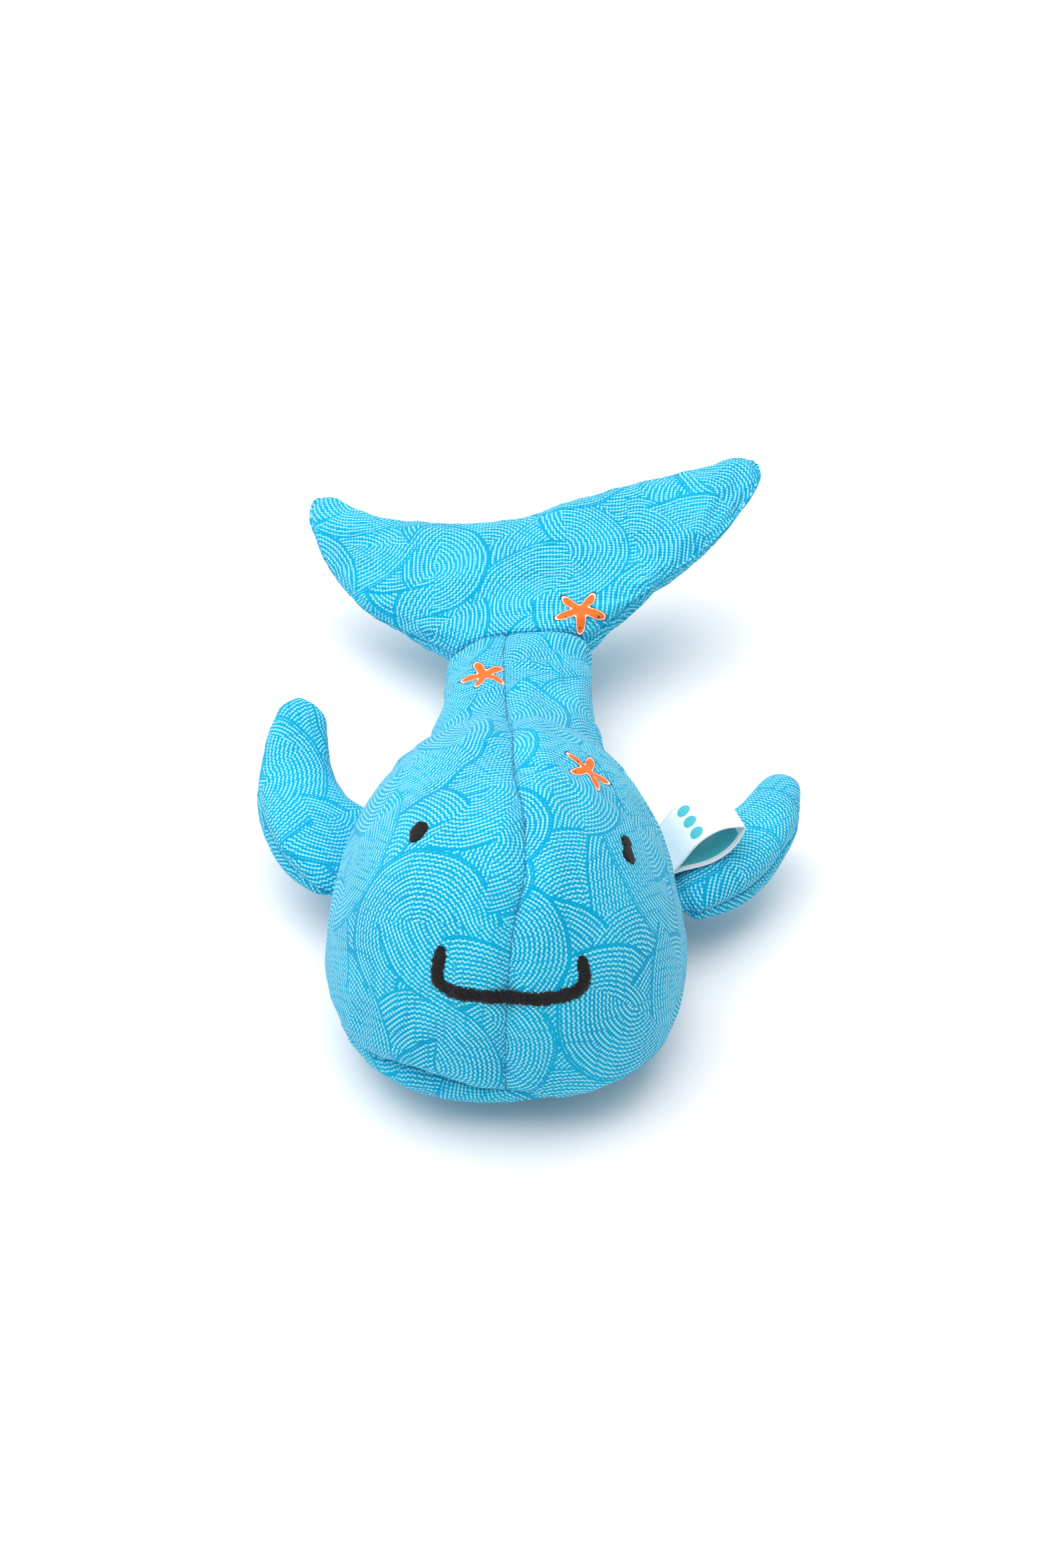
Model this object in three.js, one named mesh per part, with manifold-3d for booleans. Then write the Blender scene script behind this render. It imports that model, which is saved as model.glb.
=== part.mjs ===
// A small stuffed whale of printed canvas, lying on its belly. Lengths are millimetres and angles degrees.
// +Z is up, the nose points along -Y and the tail along +Y, so the whale's own left is +X.
// The origin is the middle of the flat patch of belly that rests on the table.
// Cloth panels are thin shells. Sewing threads lie in the gaps between them, and loose fill lies inside.
import * as THREE from "three";
import { mergeVertices } from "three/addons/utils/BufferGeometryUtils.js";
import Module from "manifold-3d";

const wasm = await Module();
wasm.setup();

// Cloth, thread and clearances
const clothThickness = 0.8;
const threadWidth = 0.6;
const threadTop = 0.1; // how far a thread lies below the cloth's face
const clearance = 0.3;
const mergeDistance = 1e-4; // points closer than this are one
const sliverSize = 0.004;
const sheetMargin = 6; // how far a cutting sheet reaches past what it cuts
const restPress = 0.8; // how far the table flattens the belly

// Body
const headHalfWidth = 40.8;
const headHeight = 68;
const noseY = -60;
const widestY = -14;
const tailSeamY = 102;
const widestZ = 21;
const headCentreX = -0.7;
const stemDrift = 3.57; // how far the stem's end lies to the whale's left of the head
const stemTwist = 8;
const chinSeamZ = 14;
const finSeamZ = 15.5;
const finSeamY = 20;
const stemSeamZ = 17;
const bellyRearY = 80;

// Fluke
const hingeHalfWidth = 18.5;
const hingeRadius = 9.5;
const hingeZ = 20.6;
const flukeHalfSpan = 62;
const flukeLength = 65.5;
const flukeRootHalfThickness = 9.1;
const flukeRootInset = 0.3;
const flukeHalfThickness = 7;
const flukeRim = 1;
const flukePitch = 15;
const flukeYaw = -2.5;
const flukeRootCut = 4.5; // where the fluke's cloth ends inside the tail, ahead of its hinge line

// Flippers
const flipperRootLength = 30;
const flipperReach = 32;
const flipperBack = 39.5;
const flipperHalfThickness = 6.4;
const flipperRootHalfThickness = 1.5;
const flipperRootOverlap = 0.1; // how much thinner the flipper starts than the rod along its root
const flipperRootCut = 1.1;
const curlStart = 5; // how far behind the middle of its root a flipper starts to curl up
const sweepWidth = 14; // how far out a swept flipper has turned fully
const leftFlipper = { side: 1, rootY: 15, lift: 2, sweep: 26, curl: 1 };
const rightFlipper = { side: -1, rootY: 20, lift: 14, sweep: 11, curl: 14 };

// Label
const ribbonWidth = 15;
const ribbonThickness = 0.4;
const ribbonReach = 22;
const ribbonStub = 2.6;
const ribbonLoopHeight = 7.4;
const ribbonY = 15;
const ribbonAboveSeam = 8;
const ribbonLift = 27;

// Embroidery
const stitchHeight = 0.8;
const mouthWidth = 3;
const mouthHalfWidth = 15.4;
const mouthZ = 40.4;
const mouthCentreX = 0.6;
const rightMouthCorner = 7.6; // how far the mouth turns up at each end
const leftMouthCorner = 6;
const embroideryDepth = 12; // how deep the cutters reach that shape the embroidery
const leftEye = { x: 25.6, y: -24.2, halfWidth: 2, halfHeight: 4.4, tilt: 8 };
const rightEye = { x: -19.4, y: -26.6, halfWidth: 2.3, halfHeight: 3.6, tilt: -24 };

// Closing stitch, sewn by hand on the right of the chin
const closingStart = 9;
const closingLength = 20;
const closingPitch = 2.5;
const closingWidth = 0.9;

// Body outline as shares: stations of the way from the widest section to the tail seam, then sizes there
const stationShares = [0, 0.12, 0.2, 0.29, 0.38, 0.47, 0.56, 0.66, 0.78, 0.9, 0.95, 1];
const widthShares = [1, 0.961, 0.893, 0.808, 0.726, 0.645, 0.57, 0.52, 0.475, 0.457, 0.45, 0.43];
const topShares = [1, 0.985, 0.95, 0.87, 0.75, 0.62, 0.53, 0.49, 0.465, 0.447, 0.438, 0.424];
const bottomShares = [0, 0, 0, 0, 0, 0.015, 0.04, 0.08, 0.12, 0.15, 0.162, 0.182];
const driftShares = [0, 0, 0, 0, 0.14, 0.28, 0.42, 0.56, 0.65, 0.7, 0.85, 1];
const twistShares = [0, 0, 0, 0, 0, 0.1, 0.25, 0.45, 0.7, 0.9, 1, 1];
// The centre seam wanders: places from the nose to the tail seam, then shares of the head's half width
const seamPlaceShares = [0, 0.06, 0.13, 0.19, 0.3, 0.43, 0.63, 0.76, 1];
const seamWanderShares = [0, 0.04, 0.11, 0.11, 0.05, 0.035, 0, -0.04, -0.08];

// Roundness of the sections and of the front of the head
const upperRoundness = 1.95;
const lowerRoundness = 2.75;
const stemRoundness = 2.1;
const frontRoundness = { width: 2.45, top: 2.2, bottom: 2.9 };
const limbRoundness = 2.3;
const flukeEdgeRoundness = 3.2;
const flipperTipRoundness = 2.6;
const rodRoundness = 4;
const leastThicknessShare = 0.1; // what is left of a limb's thickness where an inset would eat it all
const poleInsetShare = 1.5; // the tip of a blunt cone moves in further than its sides

// Fluke outline in shares of its half span and length
const flukeLeadShares = [
  [0.46, 0.13], [0.61, 0.25], [0.745, 0.37], [0.87, 0.54], [0.955, 0.71], [1, 0.88], [0.96, 0.99],
];
const flukeTrailShares = [
  [0.96, 0.99], [0.89, 1], [0.77, 0.925], [0.58, 0.845], [0.385, 0.8], [0.19, 0.77], [0, 0.76],
];
const flukeThicknessShares = [1, 0.86, 0.8, 0.8, 0.84, 0.9, 0.95, 1];

// Flipper outline in shares of its reach and of its length behind the middle of its root
const flipperTipShares = [0.845, 1.005];
const flipperLeadShares = [
  [0.28, -0.37], [0.6, -0.18], [0.825, 0.076], [0.97, 0.43], [0.995, 0.8], [0.95, 0.94], flipperTipShares,
];
const flipperTrailShares = [
  [0.31, 0.446], [0.52, 0.638], [0.635, 0.82], [0.7, 0.94], [0.76, 0.99], flipperTipShares,
];
const flipperThicknessShares = [0, 0.5, 0.84, 1, 1, 0.97, 0.93, 0.9, 0.88, 0.86];

// Label loop: its half height as shares of the height, at even steps from the stub to the fold
const loopHeightShares = [0, 0.22, 0.5, 0.76, 0.94, 1, 0.96, 0.8, 0.46, 0];

// How finely the surfaces are cut into facets
const bodySegments = 28;
const noseRings = 6;
const backRings = 12;
const flukeSegments = 28;
const flukeRings = 7;
const flipperSegments = 14;
const flipperRings = 7;
const hingeSegments = 20;
const hingeSteps = 6;
const ribbonSteps = 3;
const eyeSegments = 20;

const cloth = new THREE.MeshStandardMaterial({ color: 0x5fc3ec, roughness: 0.85, metalness: 0 });
const deepCloth = new THREE.MeshStandardMaterial({ color: 0x2fb0e2, roughness: 0.85, metalness: 0 });
const thread = new THREE.MeshStandardMaterial({ color: 0x1c9fd6, roughness: 0.7, metalness: 0 });
const blackThread = new THREE.MeshStandardMaterial({ color: 0x17171a, roughness: 0.6, metalness: 0 });
const fill = new THREE.MeshStandardMaterial({ color: 0xf3f2ec, roughness: 0.95, metalness: 0 });
const ribbon = new THREE.MeshStandardMaterial({ color: 0xf4f7f8, roughness: 0.55, metalness: 0 });

const skinGap = threadWidth + 2 * clearance;
const tailGap = skinGap + clearance; // between the body's cloth and the hinge's egg
const fillInset = clothThickness + clearance;
const seamReach = skinGap + clothThickness;
const degrees = THREE.MathUtils.degToRad;
const point = (x, y, z) => new THREE.Vector3(x, y, z);

// A smooth curve through a table of values at rising places, without overshoot.
function tableValue(places, values, at) {
  const last = places.length - 1;
  const x = THREE.MathUtils.clamp(at, places[0], places[last]);
  let i = 0;
  while (i < last - 1 && x > places[i + 1]) i += 1;
  const step = (k) => places[k + 1] - places[k];
  const slope = (k) => (values[k + 1] - values[k]) / step(k);
  const tangent = (k) => {
    if (k === 0) return slope(0);
    if (k === last) return slope(last - 1);
    const before = slope(k - 1);
    const after = slope(k);
    return before * after <= 0 ? 0 : (2 * before * after) / (before + after);
  };
  const t = (x - places[i]) / step(i);
  const rise = (values[i + 1] - values[i]) * t * t * (3 - 2 * t);
  const bend = step(i) * (tangent(i) * t * (1 - t) * (1 - t) - tangent(i + 1) * t * t * (1 - t));
  return values[i] + rise + bend;
}

const evenPlaces = (values) => values.map((_, i) => i / (values.length - 1));
const roundOff = (share, roundness) => (1 - Math.min(share, 1) ** roundness) ** (1 / roundness);
const power = (value, exponent) => Math.sign(value) * Math.abs(value) ** exponent;

// The body's section at a place along Y: half width, top, bottom, centre and twist.
function sectionAt(y) {
  const ahead = THREE.MathUtils.clamp((widestY - y) / (widestY - noseY), 0, 1);
  const behind = THREE.MathUtils.clamp((y - widestY) / (tailSeamY - widestY), 0, 1);
  const share = (shares) => tableValue(stationShares, shares, behind);
  const pressedBottom = headHeight * share(bottomShares) - restPress * (1 - behind);
  const top = widestZ + (headHeight * share(topShares) - widestZ) * roundOff(ahead, frontRoundness.top);
  const bottom = widestZ - (widestZ - pressedBottom) * roundOff(ahead, frontRoundness.bottom);
  return {
    halfWidth: headHalfWidth * share(widthShares) * roundOff(ahead, frontRoundness.width),
    top,
    bottom,
    x: headCentreX + stemDrift * share(driftShares),
    z: (top + bottom) / 2,
    twist: degrees(stemTwist) * share(twistShares),
    stem: behind,
  };
}

// A point of a section's outline at a turn from 0 at the whale's left through 0.25 on top.
function outlinePoint(y, turn) {
  const section = sectionAt(y);
  const angle = turn * 2 * Math.PI;
  const upper = Math.sin(angle) >= 0;
  const head = upper ? upperRoundness : lowerRoundness;
  const exponent = 2 / THREE.MathUtils.lerp(head, stemRoundness, section.stem);
  const height = upper ? section.top - widestZ : widestZ - section.bottom;
  const x = section.halfWidth * power(Math.cos(angle), exponent);
  const z = widestZ + height * power(Math.sin(angle), exponent) - section.z;
  const cos = Math.cos(section.twist);
  const sin = Math.sin(section.twist);
  return point(section.x + x * cos + z * -sin, y, Math.max(0, section.z + x * sin + z * cos));
}

// Places along Y for the body's rings, from the nose to the tail seam.
const stations = [];
for (let i = 0; i < noseRings; i += 1)
  stations.push(widestY - (widestY - noseY) * Math.cos((i / noseRings) * (Math.PI / 2)));
for (let i = 0; i <= backRings; i += 1)
  stations.push(THREE.MathUtils.lerp(widestY, tailSeamY, i / backRings));

const bodyForm = stations.map((y) =>
  Array.from({ length: bodySegments }, (_, j) => outlinePoint(y, j / bodySegments)),
);

const middleOf = (ring) => ring.reduce((sum, p) => sum.add(p), point(0, 0, 0)).divideScalar(ring.length);

// The outward direction at each point of a grid of rings.
function ringNormals(rings) {
  const last = rings.length - 1;
  let outwards = 0;
  const normals = rings.map((ring, i) =>
    ring.map((p, j) => {
      const around = ring[(j + 1) % ring.length].clone().sub(ring[(j + ring.length - 1) % ring.length]);
      const along = rings[Math.min(i + 1, last)][j].clone().sub(rings[Math.max(i - 1, 0)][j]);
      const onPole = around.length() < along.length() * 1e-6;
      const normal = onPole ? point(0, 0, 0) : along.cross(around).normalize();
      outwards += normal.dot(p.clone().sub(middleOf(ring)));
      return normal;
    }),
  );
  return normals.map((row, i) =>
    row.map((normal, j) => {
      if (normal.length() > 0) return normal.multiplyScalar(Math.sign(outwards));
      return rings[i][j].clone().sub(middleOf(rings[i === 0 ? 1 : i - 1])).setLength(poleInsetShare);
    }),
  );
}

// The same rings, moved in from the surface by an inset.
function insetRings(rings, inset) {
  const normals = ringNormals(rings);
  return rings.map((ring, i) => ring.map((p, j) => p.clone().addScaledVector(normals[i][j], -inset)));
}

// Rings with one more at the open end, pushed out past it.
function openedRings(rings, atStart, push) {
  const end = atStart ? rings[0] : rings[rings.length - 1];
  const past = end.map((p) => p.clone().add(push));
  return atStart ? [past, ...rings] : [...rings, past];
}

// A closed solid skinned over rings, with flat ends, or joined end to end as a loop.
function loftedSolid(rings, loop = false) {
  const count = rings[0].length;
  const at = (i, j) => (i % rings.length) * count + (j % count);
  const faces = [];
  const quad = (a, b, c, d) => faces.push([a, b, c], [a, c, d]);
  const half = Math.floor(count / 2);
  const spans = loop ? rings.length : rings.length - 1;
  for (let i = 0; i < spans; i += 1)
    for (let j = 0; j < count; j += 1) {
      const corners = [at(i, j), at(i, j + 1), at(i + 1, j + 1), at(i + 1, j)];
      // Opposite sides are split along like diagonals: a thin wall keeps its thickness where it twists.
      if (j < half) quad(...corners);
      else quad(...corners.slice(1), corners[0]);
    }
  for (let j = 0; j < half && !loop; j += 1) {
    quad(at(0, j + 1), at(0, j), at(0, count - j), at(0, count - j - 1));
    const end = rings.length - 1;
    quad(at(end, j), at(end, j + 1), at(end, count - j - 1), at(end, count - j));
  }
  const geometry = new THREE.BufferGeometry().setFromPoints(rings.flat());
  geometry.setIndex(faces.flat());
  return solidFrom(geometry);
}

// A closed geometry as a solid for joining and cutting, with its faces turned outwards.
function solidFrom(geometry) {
  const bare = geometry.clone();
  bare.deleteAttribute("normal");
  bare.deleteAttribute("uv");
  const merged = mergeVertices(bare, mergeDistance);
  const faces = [];
  let volume = 0;
  const place = (k) => point().fromBufferAttribute(merged.attributes.position, k);
  for (let i = 0; i < merged.index.count; i += 3) {
    const [a, b, c] = merged.index.array.slice(i, i + 3);
    if (a === b || b === c || a === c) continue;
    faces.push([a, b, c]);
    volume += place(a).dot(place(b).cross(place(c)));
  }
  const turned = volume < 0 ? faces.map(([a, b, c]) => [a, c, b]) : faces;
  const mesh = new wasm.Mesh({
    numProp: 3,
    vertProperties: merged.attributes.position.array,
    triVerts: new Uint32Array(turned.flat()),
  });
  return new wasm.Manifold(mesh);
}

// A solid's separate bodies, the largest first.
const bodiesOf = (solid) => solid.decompose().sort((a, b) => b.volume() - a.volume());

// A wall of one width along a path, reaching both ways from it: a cutter for a seam.
function wallSolid(path, acrosses, ups, halfWidth, reach, loop = false) {
  const rings = path.map((p, i) => {
    const corner = (across, up) =>
      p.clone().addScaledVector(acrosses[i], across * halfWidth).addScaledVector(ups[i], up * reach);
    return [corner(1, -1), corner(1, 1), corner(-1, 1), corner(-1, -1)];
  });
  return loftedSolid(rings, loop);
}

// A round form turned about the X axis: an egg or a rod with rounded ends.
function hingeForm(halfLength, radius, roundness, offset) {
  const profile = [];
  for (let i = 0; i <= hingeSteps; i += 1) {
    const share = -Math.cos((i / hingeSteps) * Math.PI);
    const swell = roundOff(Math.abs(share), roundness);
    profile.push(new THREE.Vector2((radius + offset) * swell, (halfLength + offset) * share));
  }
  const geometry = new THREE.LatheGeometry(profile, hingeSegments);
  return geometry.rotateZ(-Math.PI / 2);
}

// The body's cloth, thread and fill
const tailPush = point(0, hingeRadius, 0);
const bodySolid = (inset) => loftedSolid(openedRings(insetRings(bodyForm, inset), false, tailPush));
const bodyShell = (outer, inner) => loftedSolid(insetRings(bodyForm, outer)).subtract(bodySolid(inner));
const hingeCentre = point(headCentreX + stemDrift, tailSeamY, hingeZ);
const bodyFill = () => loftedSolid(insetRings(bodyForm, fillInset)).subtract(hingeEgg(clearance));

// The hinge's egg in the body's frame.
function hingeEgg(offset) {
  const geometry = hingeForm(hingeHalfWidth, hingeRadius, 2, offset);
  return solidFrom(geometry.rotateY(degrees(-stemTwist)).translate(...hingeCentre));
}

// The height of the belly seam at a place along Y.
function seamHeight(y) {
  const places = [noseY, finSeamY, bellyRearY];
  return tableValue(places, [chinSeamZ, finSeamZ, stemSeamZ], y);
}

// The turn at which a section's outline passes a height, on its lower left quarter.
function turnAtHeight(y, z) {
  let low = -0.25;
  let high = 0;
  if (outlinePoint(y, low).z >= z) return low;
  for (let i = 0; i < 40; i += 1) {
    const middle = (low + high) / 2;
    if (outlinePoint(y, middle).z < z) low = middle;
    else high = middle;
  }
  return (low + high) / 2;
}

// The place along Y where the underside of the chin lies a distance above the belly seam's height.
function chinPlace(distance) {
  let above = noseY;
  let below = widestY;
  for (let i = 0; i < 40; i += 1) {
    const middle = (above + below) / 2;
    if (outlinePoint(middle, -0.25).z > seamHeight(middle) + distance) above = middle;
    else below = middle;
  }
  return (above + below) / 2;
}

// The belly seam's turn at a place along Y: it closes to the middle of the underside towards the rear.
function seamTurn(y) {
  const full = turnAtHeight(y, seamHeight(y));
  const closing = THREE.MathUtils.clamp((y - finSeamY) / (bellyRearY - finSeamY), 0, 1);
  return -0.25 + (full + 0.25) * roundOff(closing, 2);
}

const skinPoint = (y, turn, side) => outlinePoint(y, side > 0 ? turn : 0.5 - turn);

// The belly seam as a loop of places on the skin, left side first, with directions across and out.
function bellySeam() {
  const front = chinPlace(0);
  const steps = 22;
  const side = [];
  for (let i = 0; i <= steps; i += 1) {
    const share = (1 - Math.cos((i / steps) * Math.PI)) / 2;
    const y = THREE.MathUtils.lerp(front, bellyRearY, share);
    side.push({ y, turn: i === 0 || i === steps ? -0.25 : seamTurn(y) });
  }
  const left = side.map(({ y, turn }) => skinPoint(y, turn, 1));
  const right = side.slice(1, -1).map(({ y, turn }) => skinPoint(y, turn, -1));
  const path = [...left, ...right.reverse()];
  const outs = path.map((p) => outwardAt(p));
  const acrosses = path.map((p, i) => {
    const along = path[(i + 1) % path.length].clone().sub(path[(i + path.length - 1) % path.length]);
    return along.cross(outs[i]).normalize();
  });
  return { path, acrosses, outs };
}

// The direction out of the skin near a place, from the section's slopes.
function outwardAt(p) {
  if (p.y === noseY) return point(0, -1, 0);
  const step = headHeight / 1000;
  const inside = (y, x, z) => {
    const s = sectionAt(y);
    const height = z > widestZ ? s.top - widestZ : widestZ - s.bottom;
    const across = Math.abs(x - s.x) / s.halfWidth;
    return across ** stemRoundness + (Math.abs(z - widestZ) / height) ** stemRoundness;
  };
  const y = THREE.MathUtils.clamp(p.y, noseY + 2 * step, tailSeamY - 2 * step);
  const slope = point(
    inside(y, p.x + step, p.z) - inside(y, p.x - step, p.z),
    inside(y + step, p.x, p.z) - inside(y - step, p.x, p.z),
    inside(y, p.x, p.z + step) - inside(y, p.x, p.z - step),
  );
  return slope.length() > 0 ? slope.normalize() : point(0, 0, p.z < widestZ ? -1 : 1);
}

// How far the centre seam wanders to the whale's left at a place along Y.
function seamWander(y) {
  const place = (y - noseY) / (tailSeamY - noseY);
  return headHalfWidth * tableValue(seamPlaceShares, seamWanderShares, place);
}

// A sheet through the centre seam, upright and turning with the stem's twist.
function centreSheet(halfWidth) {
  const path = [];
  const acrosses = [];
  const ups = [];
  for (const y of [noseY - sheetMargin, ...stations, tailSeamY + sheetMargin]) {
    const section = sectionAt(y);
    path.push(point(section.x + seamWander(y), y, section.z));
    acrosses.push(point(Math.cos(section.twist), 0, Math.sin(section.twist)));
    const reach = (y < widestY ? headHeight : section.top - section.bottom) / 2 + seamReach;
    ups.push(point(-Math.sin(section.twist), 0, Math.cos(section.twist)).multiplyScalar(reach));
  }
  return wallSolid(path, acrosses, ups, halfWidth, 1);
}

const seam = bellySeam();
const bellyCut = wallSolid(seam.path, seam.acrosses, seam.outs, skinGap / 2, seamReach, true);

// The three cloth panels of the body.
function bodyPanels() {
  const shell = bodyShell(0, clothThickness).subtract(hingeEgg(tailGap));
  const [sides, belly] = bodiesOf(shell.subtract(bellyCut));
  const [one, other] = bodiesOf(sides.subtract(centreSheet(skinGap / 2)));
  const [left, right] = [one, other].sort((a, b) => b.boundingBox().max[0] - a.boundingBox().max[0]);
  return { left, right, belly };
}

// A place on the centre seam, on the back or, with a turn of -0.25, on the underside.
function centreSeamPlace(y, quarter) {
  const section = sectionAt(y);
  const wander = seamWander(y);
  const reach = Math.max(section.halfWidth, Math.abs(wander));
  const share = reach > 0 ? wander / reach : 0;
  const head = quarter > 0 ? upperRoundness : lowerRoundness;
  const roundness = THREE.MathUtils.lerp(head, stemRoundness, section.stem);
  const angle = Math.asin(power(share, roundness / 2)) / (2 * Math.PI);
  return outlinePoint(y, quarter > 0 ? quarter - angle : quarter + angle);
}

// A thread laid in a gap of the cloth along a path on the skin.
function threadAlong(path, acrosses, outs, loop = false) {
  const depth = threadTop + threadWidth / 2;
  const sunk = path.map((p, i) => p.clone().addScaledVector(outs[i], -depth));
  return wallSolid(sunk, acrosses, outs, threadWidth / 2, threadWidth / 2, loop);
}

// A thread along an open path on the body's skin.
function bodyThread(path) {
  const outs = path.map(outwardAt);
  const last = path.length - 1;
  const acrosses = path.map((p, i) => {
    const along = path[Math.min(i + 1, last)].clone().sub(path[Math.max(i - 1, 0)]);
    return along.cross(outs[i]).normalize();
  });
  return threadAlong(path, acrosses, outs);
}

// The thread that sews the fluke's cloth to the tail, round the front of the hinge's egg.
function tailRing() {
  const offset = clearance + threadWidth / 2;
  const depth = threadTop + threadWidth / 2;
  const twist = degrees(stemTwist);
  const path = [];
  for (let j = 0; j < bodySegments; j += 1) {
    let y = tailSeamY;
    for (let round = 0; round < 4; round += 1) {
      const place = outlinePoint(y, j / bodySegments);
      const p = place.clone().addScaledVector(outwardAt(place), -depth);
      p.sub(hingeCentre).applyAxisAngle(point(0, 1, 0), twist);
      const across = (p.x / (hingeHalfWidth + offset)) ** 2;
      const up = (p.z / (hingeRadius + offset)) ** 2;
      y = tailSeamY - (hingeRadius + offset) * Math.sqrt(Math.max(0, 1 - across - up));
    }
    path.push(outlinePoint(y, j / bodySegments));
  }
  const outs = path.map((p) => p.clone().sub(hingeCentre).setY(0).normalize());
  return threadAlong(path, path.map(() => point(0, 1, 0)), outs, true);
}

// The threads of the body's seams.
function bodyThreads() {
  const chinEnd = chinPlace(skinGap);
  const rearEnd = tailSeamY - hingeRadius;
  const onBack = stations.filter((y) => y < rearEnd - hingeRadius / 2);
  const back = [...onBack, rearEnd].reverse().map((y) => centreSeamPlace(y, 0.25));
  const underChin = stations.filter((y) => y > noseY && y < chinEnd);
  const chin = [...underChin, chinEnd].map((y) => centreSeamPlace(y, -0.25));
  const underTail = [bellyRearY + skinGap, (bellyRearY + rearEnd) / 2, rearEnd];
  return {
    centre: bodyThread([...back, ...chin]),
    underTail: bodyThread(underTail.map((y) => centreSeamPlace(y, -0.25))),
    belly: threadAlong(seam.path, seam.acrosses, seam.outs, true),
    tail: tailRing(),
  };
}

// A shell that stands off the skin, for what is stitched on top of the cloth.
const stitchShell = bodyShell(-clearance - stitchHeight, -clearance);

// The mouth: a flat line of satin stitch with both ends turned up.
function mouthSolid() {
  const path = [];
  const addPoint = (x, z) => path.push(point(mouthCentreX + x, noseY, z));
  const bend = mouthWidth / 2;
  addPoint(-mouthHalfWidth, mouthZ + rightMouthCorner);
  addPoint(-mouthHalfWidth - bend / 2, mouthZ + bend * 2);
  addPoint(-mouthHalfWidth + bend / 2, mouthZ + bend / 4);
  addPoint(-mouthHalfWidth / 2, mouthZ);
  addPoint(0, mouthZ - bend / 3);
  addPoint(mouthHalfWidth / 2, mouthZ - bend / 4);
  addPoint(mouthHalfWidth - bend / 2, mouthZ);
  addPoint(mouthHalfWidth + bend / 2, mouthZ + bend * 2);
  addPoint(mouthHalfWidth, mouthZ + leftMouthCorner);
  const curve = new THREE.CatmullRomCurve3(path, false, "centripetal");
  const steps = 26;
  const spaced = curve.getSpacedPoints(steps);
  const forward = point(0, 1, 0);
  const acrosses = spaced.map((_, i) => curve.getTangentAt(i / steps).cross(forward).normalize());
  const wall = wallSolid(spaced, acrosses, spaced.map(() => forward), mouthWidth / 2, 2 * embroideryDepth);
  return bodiesOf(stitchShell.intersect(wall))[0];
}

// An eye: an oval pad of satin stitch, set on the skin at a place seen from above.
function eyeSolid(eye) {
  const section = sectionAt(eye.y);
  const across = (eye.x - section.x) / section.halfWidth;
  const z = widestZ + (section.top - widestZ) * roundOff(Math.abs(across), upperRoundness);
  const centre = point(eye.x, eye.y, z);
  const out = outwardAt(centre);
  const geometry = new THREE.CylinderGeometry(1, 1, embroideryDepth, eyeSegments);
  geometry.rotateX(Math.PI / 2).scale(eye.halfWidth, eye.halfHeight, 1).rotateZ(degrees(eye.tilt));
  const frame = new THREE.Matrix4().lookAt(out, point(0, 0, 0), point(0, 1, 0)).setPosition(centre);
  return stitchShell.intersect(solidFrom(geometry.applyMatrix4(frame)));
}

// The closing stitch: a zigzag over the belly seam, where the whale was filled and sewn shut.
function closingStitch() {
  const places = [...seam.path, seam.path[0]].reverse();
  const across = [...seam.acrosses, seam.acrosses[0]].reverse();
  const outs = [...seam.outs, seam.outs[0]].reverse();
  const length = [0];
  for (let i = 1; i < places.length; i += 1)
    length.push(length[i - 1] + places[i].distanceTo(places[i - 1]));
  const along = (list, distance) => {
    let i = 1;
    while (length[i] < distance) i += 1;
    const share = (distance - length[i - 1]) / (length[i] - length[i - 1]);
    return list[i - 1].clone().lerp(list[i], share);
  };
  const count = Math.round(closingLength / closingPitch);
  const path = [];
  const ups = [];
  for (let i = 0; i <= count; i += 1) {
    const distance = closingStart + i * closingPitch;
    const shift = i % 2 === 0 ? closingWidth : -closingWidth;
    path.push(along(places, distance).addScaledVector(along(across, distance), shift));
    ups.push(along(outs, distance).normalize());
  }
  const sides = path.map((p, i) => {
    const after = path[Math.min(i + 1, count)];
    const before = path[Math.max(i - 1, 0)];
    return after.clone().sub(before).cross(ups[i]).normalize();
  });
  const wall = wallSolid(path, sides, ups, threadWidth / 2, seamReach);
  const layer = bodyShell(-clearance - threadWidth, -clearance);
  return bodiesOf(layer.intersect(wall))[0];
}

// A smooth curve through outline points, which are shares of two lengths.
function outlineCurve(first, shares, across, along) {
  const points = shares.map(([x, y]) => point(x * across, y * along, 0));
  return new THREE.CatmullRomCurve3([...first, ...points], false, "centripetal");
}

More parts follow.
